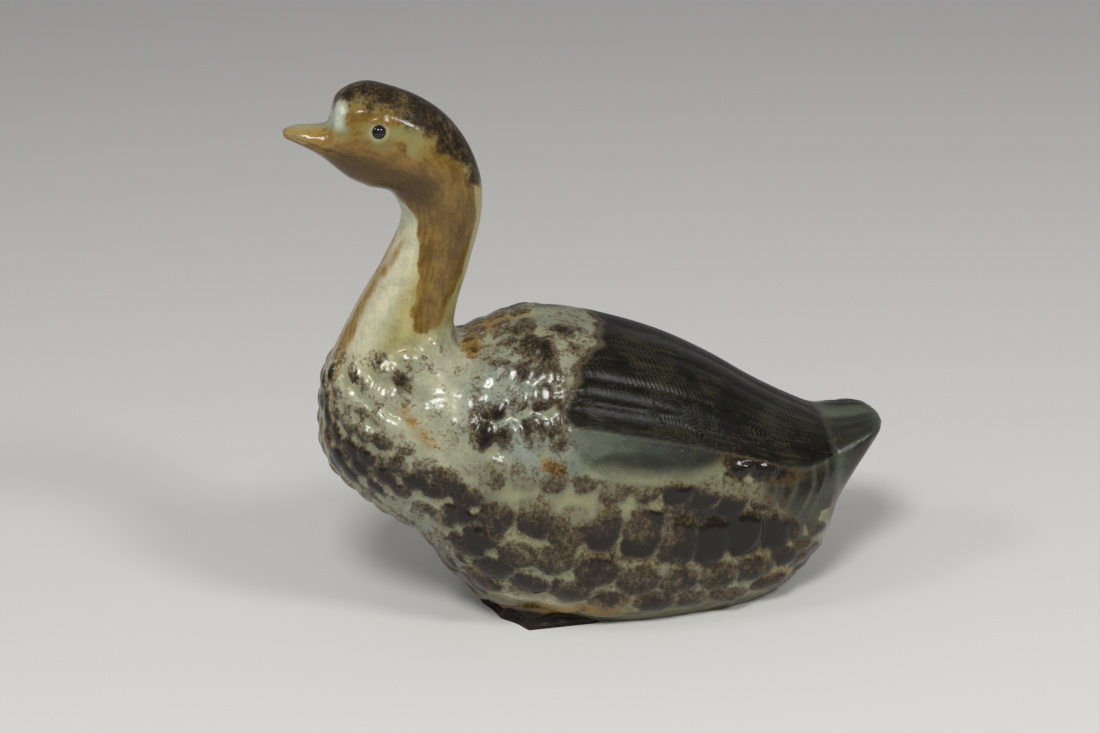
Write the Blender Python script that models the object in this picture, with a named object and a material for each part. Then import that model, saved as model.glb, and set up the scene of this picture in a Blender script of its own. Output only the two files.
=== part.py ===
"""Glazed stoneware waterfowl figurine, a single hollow casting with a flat base.

The bird faces -X and rests on z = 0. Its skin is a loft along an S-shaped path, from the
tail over the body and breast, up the neck to the beak. The carved plumage is a relief on
that skin: rows of scale feathers, long wing feathers and tail coverts.
Run with: blender --background --python part.py
"""
import math
from typing import NamedTuple

import bmesh
import bpy
import numpy as np
from mathutils import Vector

MM = 0.001

# Main sizes
LENGTH = 208.5 * MM              # along X, beak to tail
WIDTH = 93.8 * MM                # along Y
HEIGHT = 197.6 * MM              # along Z

# Unit of the sections and of the feet's outline along each axis: they are drawn for a bird
# of 208.5 by 93.8 by 197.6 units
UNIT_X = LENGTH / 208.5
UNIT_Y = WIDTH / 93.8
UNIT_Z = HEIGHT / 197.6


class Section(NamedTuple):
    """One cross-section of the bird, in drawing units."""

    name: str
    back: tuple[float, float]    # x and z of its uppermost point
    belly: tuple[float, float]   # x and z of its lowest point
    half_width: float
    widest: float                # level of the widest point, as a share from belly to back
    squareness: float            # 2 is an ellipse, more is boxier


# The skin's sections, from the tail to the beak
SECTIONS = [
    Section("tail_tip", (104.7, 55.9), (103.4, 53.4), 5.5, 0.60, 2.0),
    Section("tail_end", (102.8, 57.5), (100.4, 49.6), 11.6, 0.70, 2.1),
    Section("tail_fan", (98.8, 58.2), (95.2, 43.4), 16.9, 0.75, 2.3),
    Section("tail_mid", (92.8, 58.1), (89.4, 34.4), 20.3, 0.76, 2.4),
    Section("tail_root", (86.0, 58.4), (84.0, 25.0), 23.5, 0.70, 2.3),
    Section("rump_end", (80.0, 60.0), (79.0, 13.2), 28.0, 0.60, 2.3),
    Section("rump", (72.0, 64.3), (71.0, 4.4), 32.3, 0.50, 2.3),
    Section("haunch", (60.0, 71.5), (60.0, -4.0), 36.9, 0.47, 2.4),
    Section("loin", (45.0, 82.0), (45.0, -10.0), 40.4, 0.45, 2.5),
    Section("mid_back", (26.0, 93.2), (26.0, -12.5), 43.0, 0.44, 2.5),
    Section("belly", (6.0, 101.4), (7.0, -13.0), 44.6, 0.44, 2.5),
    Section("shoulder", (-12.0, 106.7), (-12.0, -8.0), 45.0, 0.44, 2.5),
    Section("fore_back", (-28.0, 107.0), (-30.0, -1.0), 43.0, 0.45, 2.4),
    Section("fore_belly", (-39.0, 104.6), (-44.0, 3.0), 39.5, 0.46, 2.3),
    Section("keel", (-45.0, 102.9), (-55.5, 15.0), 37.0, 0.45, 2.2),
    Section("low_breast", (-48.0, 102.4), (-67.3, 32.4), 35.0, 0.45, 2.1),
    Section("mid_breast", (-49.3, 102.5), (-82.2, 44.2), 33.0, 0.46, 2.05),
    Section("full_breast", (-50.3, 104.3), (-98.9, 66.5), 27.5, 0.48, 2.0),
    Section("upper_breast", (-50.4, 106.0), (-98.4, 78.0), 24.5, 0.50, 2.0),
    Section("crop", (-50.3, 108.0), (-97.0, 90.5), 21.5, 0.50, 2.0),
    Section("neck_foot", (-48.0, 117.5), (-85.0, 115.4), 16.0, 0.50, 2.0),
    Section("low_neck", (-43.0, 131.5), (-72.2, 135.5), 13.3, 0.50, 2.0),
    Section("high_neck", (-38.0, 149.0), (-66.0, 150.5), 12.6, 0.50, 2.0),
    Section("throat", (-37.5, 157.0), (-67.8, 155.8), 12.8, 0.50, 2.0),
    Section("cheek", (-49.0, 184.0), (-78.0, 161.4), 13.8, 0.50, 2.0),
    Section("crown", (-67.0, 195.3), (-84.0, 165.0), 13.0, 0.50, 2.0),
    Section("brow", (-75.5, 197.6), (-86.5, 167.3), 12.2, 0.50, 2.0),
    Section("knob_top", (-85.6, 193.0), (-90.0, 170.8), 9.8, 0.50, 2.0),
    Section("knob_front", (-86.9, 188.3), (-91.2, 172.0), 8.8, 0.50, 2.0),
    Section("beak_root", (-88.0, 184.6), (-92.4, 173.0), 8.1, 0.50, 2.0),
    Section("beak_mid", (-91.0, 183.9), (-94.5, 174.6), 7.4, 0.50, 2.0),
    Section("beak_end", (-101.5, 183.9), (-101.6, 178.9), 4.3, 0.50, 2.0),
    Section("beak_tip", (-104.4, 183.0), (-104.2, 180.4), 2.4, 0.50, 2.0),
]

# Casting
WALL = 5.5 * MM
FLOOR = 5.5 * MM
CAVITY_END_ROUNDING = 16.0 * MM
CAVITY_REAR = ("rump", 0.2)      # section and share of the way to the next
CAVITY_FRONT = ("neck_foot", 0.8)
VENT_DIAMETER = 16.0 * MM
VENT_X = 4.0 * MM

# Scale feathers, in rows that run from the neck to the tail
SCALE_ROWS = 13                  # on each side of the body
BREAST_PITCH = 8.4 * MM
FLANK_PITCH = 14.5 * MM
BREAST_SCALE_HEIGHT = 1.8 * MM
FLANK_SCALE_HEIGHT = 2.3 * MM
SCALE_LENGTH_OVERLAP = 1.12      # 1 only touches the next scale in the row
SCALE_WIDTH_OVERLAP = 1.04       # 1 only touches the next row
HEM_HEIGHT = 11.0 * MM           # smooth band above the base
SCALE_REACH = 3.0                # pitches within which a scale is looked for

# Wings
WING_EDGE_ANGLE = 60.0           # degrees from the back line to the wing's lower edge
WING_FEATHERS = 5
WING_EDGE_STEP = 1.9 * MM
WING_FRONT_RISE = 7.0 * MM       # over which the wing rises behind its front edge
WING_REAR_FADE = 14.0 * MM       # over which it runs out toward the tail
FEATHER_BULGE = 1.6 * MM
FEATHER_ROOT_BOW = 3.5 * MM      # how far the middle of a feather starts before its sides
COVERT_LAYER_ANGLE = 76.0        # degrees to the lower edge of the layer below the wing
COVERT_LAYER_STEP = 1.3 * MM
COVERT_LAYER_RISE = 8.0 * MM

# Tail coverts, tail feathers and the fold of the neck
RUMP_ARCS = 4
RUMP_ARC_STEP = 1.0 * MM
RUMP_ARC_BOW = 3.0 * MM
RUMP_FADE = 4.0 * MM
TAIL_GROOVE_DEPTH = 0.8 * MM
TAIL_GROOVES = 4
NECK_FOLD_DEPTH = 0.6 * MM
NECK_FOLD_WIDTH = 3.0 * MM

# Head
EYE_DIAMETER = 6.4 * MM
EYE_PROTRUSION = 1.3 * MM
EYE_ANGLE = 77.0                 # degrees from the back line
EYELID_HEIGHT = 0.5 * MM
EYELID_WIDTH = 1.1 * MM
BROW_HEIGHT = 0.8 * MM
MOUTH_DEPTH = 0.6 * MM
MOUTH_WIDTH = 1.0 * MM
MOUTH_RADIUS = 8.0 * MM          # of the beak where the mouth line lies

# Webbed feet, a slab below the front of the body; the outline is for the left foot
FOOT_THICKNESS = 6.0 * MM
FOOT_TOES = [(-33.2, -33.0), (-41.6, -21.4), (-46.9, -6.8)]
FOOT_WEBS = [(-36.6, -26.8), (-43.6, -13.8)]
FOOT_HEEL = [(-8.0, -33.2), (-8.0, -18.0)]
FOOT_INNER = (-46.6, 0.0)

# Mesh of the skin
SKIN_STEP = 1.1 * MM
SKIN_AROUND = 200
VOXEL = 1.05 * MM
KEPT_FACES = 0.058
CAVITY_STEP = 11.0 * MM
CAVITY_AROUND = 20


def smooth_step(low, high, value):
    """Rise from 0 at low to 1 at high, with level ends."""
    share = np.clip((value - low) / (high - low), 0.0, 1.0)
    return share * share * (3.0 - 2.0 * share)


class Loft:
    """A smooth surface through the sections, read by station along it and angle around it."""

    def __init__(self, sections, inset=0.0):
        back = np.array([section.back for section in sections]) * (UNIT_X, UNIT_Z)
        belly = np.array([section.belly for section in sections]) * (UNIT_X, UNIT_Z)
        upward = back - belly
        upward = upward / np.linalg.norm(upward, axis=1, keepdims=True)
        steps = np.maximum(
            np.linalg.norm(np.diff(back, axis=0), axis=1),
            np.linalg.norm(np.diff(belly, axis=0), axis=1),
        )
        self.names = [section.name for section in sections]
        self.stations = np.concatenate([[0.0], np.cumsum(steps)])
        self.values = np.column_stack([
            back - inset * upward,
            belly + inset * upward,
            np.array([section.half_width for section in sections]) * UNIT_Y - inset,
            [section.widest for section in sections],
            [section.squareness for section in sections],
        ])
        self.slopes = self._slopes()

    def _slopes(self):
        """Rates of change at the sections, weighted by the spacing on both sides."""
        gaps = np.diff(self.stations)[:, None]
        rates = np.diff(self.values, axis=0) / gaps
        inner = (rates[:-1] * gaps[1:] + rates[1:] * gaps[:-1]) / (gaps[1:] + gaps[:-1])
        return np.vstack([rates[:1], inner, rates[-1:]])

    def at(self, name, share=0.0):
        """Station of a named section, or a share of the way to the next one."""
        index = self.names.index(name)
        following = min(index + 1, len(self.stations) - 1)
        return (1.0 - share) * self.stations[index] + share * self.stations[following]

    def frames(self, stations):
        """Section values at each station, from cubic Hermite curves."""
        index = np.clip(np.searchsorted(self.stations, stations, side="right") - 1,
                        0, len(self.stations) - 2)
        gap = (self.stations[index + 1] - self.stations[index])[:, None]
        u = (stations - self.stations[index])[:, None] / gap
        start = (2 * u**3 - 3 * u**2 + 1) * self.values[index]
        start_slope = (u**3 - 2 * u**2 + u) * gap * self.slopes[index]
        end = (3 * u**2 - 2 * u**3) * self.values[index + 1]
        end_slope = (u**3 - u**2) * gap * self.slopes[index + 1]
        return start + start_slope + end + end_slope

    def points(self, stations, angles, scale=None):
        """Surface points, one row per station; angle 0 is the back, and -Y comes first."""
        values = self.frames(stations)
        back, belly = values[:, 0:2], values[:, 2:4]
        half_width = values[:, 4]
        widest = values[:, 5]
        power = 2.0 / values[:, 6]
        centre = belly + widest[:, None] * (back - belly)
        cosine, sine = np.cos(angles), np.sin(angles)
        rise = np.sign(cosine) * np.abs(cosine) ** power[:, None]
        side = np.sign(sine) * np.abs(sine) ** power[:, None]
        reach = np.where(cosine > 0.0, (1.0 - widest)[:, None], widest[:, None]) * rise
        if scale is not None:
            reach = reach * scale[:, None]
            side = side * scale[:, None]
        chord = back - belly
        x = centre[:, 0:1] + chord[:, 0:1] * reach
        z = centre[:, 1:2] + chord[:, 1:2] * reach
        return np.stack([x, -half_width[:, None] * side, z], axis=-1)


def surface_axes(points):
    """Unit vectors along the stations, around the body and outward, for a grid of points."""
    along = np.gradient(points, axis=0)
    around = np.roll(points, -1, axis=1) - np.roll(points, 1, axis=1)
    outward = np.cross(around, along)
    axes = [along, around, outward]
    return [axis / np.maximum(np.linalg.norm(axis, axis=-1, keepdims=True), 1e-12)
            for axis in axes]


def wing_front(loft, degrees):
    """Station of the wing's front edge at each angle from the back line."""
    spine = loft.at("belly", 0.2)
    tip = loft.at("shoulder", 0.4)
    share = np.clip(1.0 - np.abs(degrees - 52.0) / 52.0, 0.0, 1.0) ** 1.3
    return spine + (tip - spine) * share


def covert_layer_edge(loft, stations):
    """Angle of the lower edge of the feather layer below the wing, at each station."""
    rear, front = loft.at("haunch", 0.4), loft.at("mid_back", 0.4)
    taper = smooth_step(rear, front, stations)
    return WING_EDGE_ANGLE + (COVERT_LAYER_ANGLE - WING_EDGE_ANGLE) * taper


def flank_share(loft, station):
    """1 on the flank, where the feathers are large and overlap, falling to 0 on the breast."""
    return 1.0 - smooth_step(loft.at("keel"), loft.at("mid_breast"), station)


def scale_pitch(loft, station, degrees):
    """Length of one scale feather along its row."""
    growth = np.clip((degrees - 54.0) / 50.0, 0.0, 1.0)
    return BREAST_PITCH + (FLANK_PITCH - BREAST_PITCH) * growth * flank_share(loft, station)


def scale_centres(loft):
    """Stations and angles of the scale feathers of one side, staggered row by row."""
    first, last = loft.at("crop", 0.35), loft.at("haunch", 0.3)
    fine = np.arange(first, last, -SKIN_STEP)
    found = []
    for row in range(SCALE_ROWS):
        degrees = (row + 0.5) * 180.0 / SCALE_ROWS
        line = loft.points(fine, np.array([math.radians(degrees)]))[:, 0]
        travelled = np.concatenate(
            [[0.0], np.cumsum(np.linalg.norm(np.diff(line, axis=0), axis=1))])
        pitch = scale_pitch(loft, first, degrees)
        distance = pitch * (0.5 if row % 2 else 1.0)
        while distance < travelled[-1]:
            station = np.interp(distance, travelled, fine)
            pitch = scale_pitch(loft, station, degrees)
            found.append((station, degrees, pitch))
            distance += pitch
    return found


def scale_relief(loft, points):
    """Height of the overlapping scale feathers over a grid of skin points."""
    height = np.zeros(points.shape[:2])
    reach = SCALE_REACH * FLANK_PITCH
    for station, degrees, pitch in scale_centres(loft):
        near = np.array([station - SKIN_STEP, station, station + SKIN_STEP])
        turn = 0.5 * math.pi / SCALE_ROWS
        spread = math.radians(degrees) + np.array([-turn, 0.0, turn])
        patch = loft.points(near, spread)
        centre = patch[1, 1]
        tailward = patch[0, 1] - patch[2, 1]
        across = patch[1, 2] - patch[1, 0]
        row_width = np.linalg.norm(across)
        tailward = tailward / np.linalg.norm(tailward)
        across = across / np.linalg.norm(across)
        flank = flank_share(loft, station)
        offset = points - centre
        inside = np.linalg.norm(offset, axis=-1) < reach
        a = offset[inside] @ tailward / (0.5 * pitch * SCALE_LENGTH_OVERLAP)
        b = offset[inside] @ across / (0.5 * row_width * SCALE_WIDTH_OVERLAP)
        depth = offset[inside] @ np.cross(tailward, across)
        dome = np.sqrt(np.clip(1.0 - a * a - b * b, 0.0, 1.0))
        ramp = (1.0 - flank) + flank * (0.8 + 0.5 * np.clip(a, -1.0, 1.0))
        tallest = BREAST_SCALE_HEIGHT + (FLANK_SCALE_HEIGHT - BREAST_SCALE_HEIGHT) * flank
        bump = tallest * dome * ramp * (np.abs(depth) < pitch)
        height[inside] = np.maximum(height[inside], bump)
    return height


def wing_relief(loft, stations, degrees):
    """Height of the long wing feathers and of the layer below them."""
    front = wing_front(loft, degrees)
    rear = loft.at("rump_end", 0.3)
    lane = degrees / WING_EDGE_ANGLE * WING_FEATHERS
    across = 2.0 * (lane - np.floor(lane)) - 1.0
    rounded_front = front - FEATHER_ROOT_BOW * across**2
    rise = smooth_step(0.0, WING_FRONT_RISE, rounded_front - stations)
    fall = smooth_step(rear, rear + WING_REAR_FADE, stations)
    wing = (degrees < WING_EDGE_ANGLE) * rise * fall
    vane = FEATHER_BULGE * (np.sqrt(np.clip(1.0 - across**2, 0.0, 1.0)) - 0.7)
    level = WING_EDGE_STEP * smooth_step(15.0, WING_EDGE_ANGLE, degrees)
    edge = covert_layer_edge(loft, stations)
    layer_front = loft.at("shoulder", 0.35)
    below = (degrees >= WING_EDGE_ANGLE) * (degrees < edge)
    below = below * smooth_step(0.0, COVERT_LAYER_RISE, layer_front - stations)
    return wing * (vane + level) + below * COVERT_LAYER_STEP * smooth_step(
        WING_EDGE_ANGLE - 12.0, COVERT_LAYER_ANGLE, degrees)


def rump_relief(loft, stations, degrees):
    """Steps of the tail coverts, in arcs across the rump, and the grooves of the tail."""
    front, rear = loft.at("haunch", 0.4), loft.at("tail_root", 0.2)
    bow = RUMP_ARC_BOW * np.cos(np.radians(2.0 * degrees - 140.0))
    lane = (front - stations + bow) / (front - rear) * RUMP_ARCS
    ramp = lane - np.floor(lane)
    arcs = smooth_step(0.0, 0.8, ramp) * (1.0 - smooth_step(0.86, 1.0, ramp))
    half = 0.5 * RUMP_FADE
    rump = smooth_step(rear - half, rear + half, stations) \
        * smooth_step(-half, RUMP_FADE, front - stations) \
        * smooth_step(35.0, 55.0, degrees)
    fan = 1.0 - smooth_step(rear - RUMP_FADE, rear + half, stations)
    top = 1.0 - smooth_step(55.0, 75.0, degrees)
    tail_lane = degrees / 70.0 * TAIL_GROOVES
    groove = (0.5 + 0.5 * np.cos(2.0 * math.pi * tail_lane)) ** 2
    return rump * arcs * RUMP_ARC_STEP - fan * top * groove * TAIL_GROOVE_DEPTH


def head_relief(loft, points, stations, degrees):
    """Eyelid rings, brows, the mouth line and the fold at the foot of the neck."""
    eye = loft.points(np.array([eye_station(loft)]), np.radians([EYE_ANGLE]))[0, 0]
    from_eye = np.linalg.norm(points - eye, axis=-1)
    ring = (from_eye - 0.5 * EYE_DIAMETER - 0.4 * EYELID_WIDTH) / EYELID_WIDTH
    lids = EYELID_HEIGHT * np.exp(-ring**2)
    brow_start, brow_end = loft.at("throat", 0.8), loft.at("knob_top", 0.5)
    share = (stations - brow_start) / (brow_end - brow_start)
    brow_line = 56.0 + 6.0 * share
    brow = BROW_HEIGHT * np.exp(-((degrees - brow_line) / 9.0) ** 2) \
        * smooth_step(0.0, 0.3, share) * (1.0 - smooth_step(0.7, 1.0, share))
    mouth_start, mouth_end = loft.at("cheek", 0.9), loft.at("beak_tip")
    share = (stations - mouth_start) / (mouth_end - mouth_start)
    mouth_line = 124.0 - 40.0 * share**3
    arc = np.radians(degrees - mouth_line) * MOUTH_RADIUS
    mouth = MOUTH_DEPTH * np.exp(-(2.0 * arc / MOUTH_WIDTH) ** 2) \
        * smooth_step(0.0, 0.25, share)
    fold = (stations - loft.at("crop", 0.45)) / NECK_FOLD_WIDTH
    neck = NECK_FOLD_DEPTH * np.exp(-fold**2) * smooth_step(25.0, 50.0, degrees) \
        * (1.0 - smooth_step(95.0, 130.0, degrees))
    return lids + brow - mouth - neck


def eye_station(loft):
    """Station of the eyes' centres."""
    return loft.at("cheek", 0.94)


def plumage(loft, stations, angles, points):
    """Height of all carving over the grid of skin points, alike on both sides."""
    turned = np.degrees(angles)
    degrees = np.where(turned > 180.0, 360.0 - turned, turned)
    points = np.where([False, True, False], -np.abs(points), points)
    stations, degrees = np.meshgrid(stations, degrees, indexing="ij")
    front = wing_front(loft, degrees)
    beside = 0.5 * WING_FRONT_RISE
    winged = (degrees < WING_EDGE_ANGLE) * smooth_step(-beside, beside, front - stations)
    layered = (degrees < covert_layer_edge(loft, stations)) \
        * (stations < loft.at("shoulder", 0.35))
    scaled = (1.0 - winged) * (1.0 - layered)
    scaled = scaled * smooth_step(0.2 * HEM_HEIGHT, HEM_HEIGHT, points[..., 2])
    scaled = scaled * smooth_step(loft.at("haunch", 0.2), loft.at("loin", 0.2), stations)
    fade = smooth_step(loft.at("crop", 0.2), loft.at("crop", 0.6), stations)
    shoulder = 0.45 + 0.55 * smooth_step(35.0, 60.0, degrees)
    scaled = scaled * (1.0 - fade) * shoulder
    spacing = np.linalg.norm(np.gradient(points, axis=0), axis=-1)
    open_skin = smooth_step(0.2 * SKIN_STEP, 0.6 * SKIN_STEP, spacing)
    height = scaled * scale_relief(loft, points)
    height = height + wing_relief(loft, stations, degrees)
    height = height + rump_relief(loft, stations, degrees)
    return height * open_skin + head_relief(loft, points, stations, degrees)


def grid_mesh(name, points):
    """Closed mesh from a grid of points, one ring per row, with a pole at each end."""
    rings, around = points.shape[:2]
    poles = [points[0].mean(axis=0), points[-1].mean(axis=0)]
    vertices = np.vstack([points.reshape(-1, 3), poles])
    faces = []
    for ring in range(rings - 1):
        for step in range(around):
            following = (step + 1) % around
            start = ring * around
            faces.append((start + step, start + following,
                          start + around + following, start + around + step))
    last = (rings - 1) * around
    for step in range(around):
        following = (step + 1) % around
        faces.append((following, step, rings * around))
        faces.append((last + step, last + following, rings * around + 1))
    mesh = bpy.data.meshes.new(name)
    mesh.from_pydata(vertices.tolist(), [], faces)
    tidy_normals(mesh)
    return mesh


def tidy_normals(mesh):
    """Turn every face outward and shade it smooth."""
    work = bmesh.new()
    work.from_mesh(mesh)
    bmesh.ops.recalc_face_normals(work, faces=work.faces)
    for face in work.faces:
        face.smooth = True
    work.to_mesh(mesh)
    work.free()


def add_object(mesh):
    """Object with the mesh's name, linked to the scene."""
    item = bpy.data.objects.new(mesh.name, mesh)
    bpy.context.scene.collection.objects.link(item)
    return item


def skin_mesh(loft):
    """The bird's outer skin with its carving."""
    count = int(math.ceil(loft.stations[-1] / SKIN_STEP))
    stations = np.linspace(0.0, loft.stations[-1], count + 1)
    angles = np.linspace(0.0, 2.0 * math.pi, SKIN_AROUND, endpoint=False)
    points = loft.points(stations, angles)
    outward = surface_axes(points)[2]
    middle = points.mean(axis=1, keepdims=True)
    outward = outward * np.sign(np.sum(outward * (points - middle), axis=-1, keepdims=True))
    height = plumage(loft, stations, angles, points)
    height[0] = 0.0
    height[-1] = 0.0
    return grid_mesh("duck_body", points + outward * height[..., None])


def cavity_mesh():
    """The hollow inside: the same loft moved in by the wall, with round ends and a flat floor."""
    loft = Loft(SECTIONS, inset=WALL)
    rear, front = loft.at(*CAVITY_REAR), loft.at(*CAVITY_FRONT)
    count = int(math.ceil((front - rear) / CAVITY_STEP))
    bend = 0.5 - 0.5 * np.cos(np.linspace(0.0, math.pi, count + 1))
    stations = rear + (front - rear) * bend
    from_end = np.minimum(stations - rear, front - stations)
    left = np.clip(1.0 - from_end / CAVITY_END_ROUNDING, 0.0, 1.0)
    scale = np.maximum(np.sqrt(1.0 - left**2), 0.05)
    angles = np.linspace(0.0, 2.0 * math.pi, CAVITY_AROUND, endpoint=False)
    points = loft.points(stations, angles, scale)
    points[..., 2] = np.maximum(points[..., 2], FLOOR)
    return grid_mesh("cavity_cutter", points)


def box_mesh(name, low, high):
    """Box between two corners."""
    mesh = bpy.data.meshes.new(name)
    work = bmesh.new()
    bmesh.ops.create_cube(work, size=1.0)
    size = Vector(high) - Vector(low)
    bmesh.ops.scale(work, vec=size, verts=work.verts)
    bmesh.ops.translate(work, vec=(Vector(high) + Vector(low)) / 2.0, verts=work.verts)
    work.to_mesh(mesh)
    work.free()
    return mesh


def vent_mesh():
    """Cutter for the vent hole through the base."""
    mesh = bpy.data.meshes.new("vent_cutter")
    work = bmesh.new()
    bmesh.ops.create_cone(work, cap_ends=True, segments=32, radius1=VENT_DIAMETER / 2.0,
                          radius2=VENT_DIAMETER / 2.0, depth=4.0 * FLOOR)
    bmesh.ops.translate(work, vec=(VENT_X, 0.0, 0.0), verts=work.verts)
    work.to_mesh(mesh)
    work.free()
    return mesh


def foot_outline():
    """Plan of both webbed feet, from the left heel round the toes to the right heel."""
    left = [FOOT_HEEL[1], FOOT_HEEL[0], FOOT_TOES[0]]
    for web, toe in zip(FOOT_WEBS, FOOT_TOES[1:]):
        left += [web, toe]
    right = [(x, -y) for x, y in reversed(left)]
    return left + [FOOT_INNER] + right


def add_feet(mesh):
    """Join the slab of the webbed feet to the skin; it reaches below the ground plane."""
    work = bmesh.new()
    work.from_mesh(mesh)
    lowest = -FOOT_THICKNESS
    corners = [work.verts.new((x * UNIT_X, y * UNIT_Y, lowest)) for x, y in foot_outline()]
    base = work.faces.new(corners)
    raised = bmesh.ops.extrude_face_region(work, geom=[base])["geom"]
    lifted = [item for item in raised if isinstance(item, bmesh.types.BMVert)]
    bmesh.ops.translate(work, vec=(0.0, 0.0, FOOT_THICKNESS - lowest), verts=lifted)
    work.to_mesh(mesh)
    work.free()
    tidy_normals(mesh)


def eyes_mesh(loft):
    """Both bead eyes, each sunk until it stands out by its protrusion."""
    station = eye_station(loft)
    near = np.array([station - SKIN_STEP, station, station + SKIN_STEP])
    turn = math.radians(4.0)
    patch = loft.points(near, math.radians(EYE_ANGLE) + np.array([-turn, 0.0, turn]))
    outward = np.cross(patch[2, 1] - patch[0, 1], patch[1, 2] - patch[1, 0])
    outward = outward / np.linalg.norm(outward)
    outward = outward * (1.0 if outward[1] < 0.0 else -1.0)
    radius = EYE_DIAMETER / 2.0
    left = Vector(patch[1, 1] - outward * (radius - EYE_PROTRUSION))
    mesh = bpy.data.meshes.new("eyes")
    work = bmesh.new()
    for centre in (left, Vector((left.x, -left.y, left.z))):
        made = bmesh.ops.create_icosphere(work, subdivisions=3, radius=radius)
        bmesh.ops.translate(work, vec=centre, verts=made["verts"])
    for face in work.faces:
        face.smooth = True
    work.to_mesh(mesh)
    work.free()
    return mesh


def glaze():
    """Olive-brown and celadon stoneware glaze, as one mean colour."""
    material = bpy.data.materials.new("glazed_stoneware")
    material.use_nodes = True
    surface = material.node_tree.nodes["Principled BSDF"]
    surface.inputs["Base Color"].default_value = (0.093, 0.076, 0.040, 1.0)
    surface.inputs["Roughness"].default_value = 0.22
    surface.inputs["Metallic"].default_value = 0.0
    return material


def add_boolean(body, cutter, operation):
    """Boolean on the body with a hidden helper object."""
    cutter.hide_render = True
    cutter.display_type = "WIRE"
    cutter.hide_set(True)
    step = body.modifiers.new(f"{operation.lower()}_{cutter.name}", "BOOLEAN")
    step.operation = operation
    step.solver = "EXACT"
    step.object = cutter


def clear_scene():
    """Remove every object that the file holds."""
    for item in list(bpy.data.objects):
        bpy.data.objects.remove(item, do_unlink=True)


def main():
    """Build the figurine."""
    clear_scene()
    loft = Loft(SECTIONS)
    body = add_object(skin_mesh(loft))
    add_feet(body.data)
    body.data.materials.append(glaze())

    fused = body.modifiers.new("fuse_skin", "REMESH")
    fused.mode = "VOXEL"
    fused.voxel_size = VOXEL
    fused.use_smooth_shade = True
    thinned = body.modifiers.new("thin_mesh", "DECIMATE")
    thinned.ratio = KEPT_FACES

    reach = 1.0
    ground = box_mesh("ground_cutter", (-reach, -reach, -reach), (reach, reach, 0.0))
    add_boolean(body, add_object(eyes_mesh(loft)), "UNION")
    add_boolean(body, add_object(ground), "DIFFERENCE")
    add_boolean(body, add_object(cavity_mesh()), "DIFFERENCE")
    add_boolean(body, add_object(vent_mesh()), "DIFFERENCE")


main()
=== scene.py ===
"""Glazed stoneware waterfowl figurine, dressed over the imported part.

The skin follows the part's own sections. Its carved plumage is a relief on that skin, and the
glaze is one procedural material that reads the plumage from the mesh's attributes.
"""

import logging
import math
from dataclasses import dataclass
from enum import Enum
from typing import Any, NamedTuple

import bmesh
import bpy
import numpy as np
from mathutils import Matrix, Vector


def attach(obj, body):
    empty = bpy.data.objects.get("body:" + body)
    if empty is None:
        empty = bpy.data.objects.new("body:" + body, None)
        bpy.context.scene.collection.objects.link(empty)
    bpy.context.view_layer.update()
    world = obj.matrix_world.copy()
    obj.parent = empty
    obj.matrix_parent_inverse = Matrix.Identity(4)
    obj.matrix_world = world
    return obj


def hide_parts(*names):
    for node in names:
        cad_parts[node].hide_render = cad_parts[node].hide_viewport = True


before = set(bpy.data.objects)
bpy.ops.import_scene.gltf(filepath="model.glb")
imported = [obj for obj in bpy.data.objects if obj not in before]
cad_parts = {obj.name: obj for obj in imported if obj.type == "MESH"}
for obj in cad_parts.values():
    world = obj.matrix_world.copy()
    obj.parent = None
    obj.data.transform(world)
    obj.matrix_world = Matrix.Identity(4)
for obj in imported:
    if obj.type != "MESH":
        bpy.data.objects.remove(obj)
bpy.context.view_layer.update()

log = logging.getLogger("figurine")

MM = 0.001
SHORTEST = 1e-6   # metres; a stroke shorter than this is a round dab


class Section(NamedTuple):
    """One cross-section of the bird, with its lengths in millimetres."""

    name: str
    back: tuple[float, float]
    belly: tuple[float, float]
    half_width: float
    widest: float
    squareness: float


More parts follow.
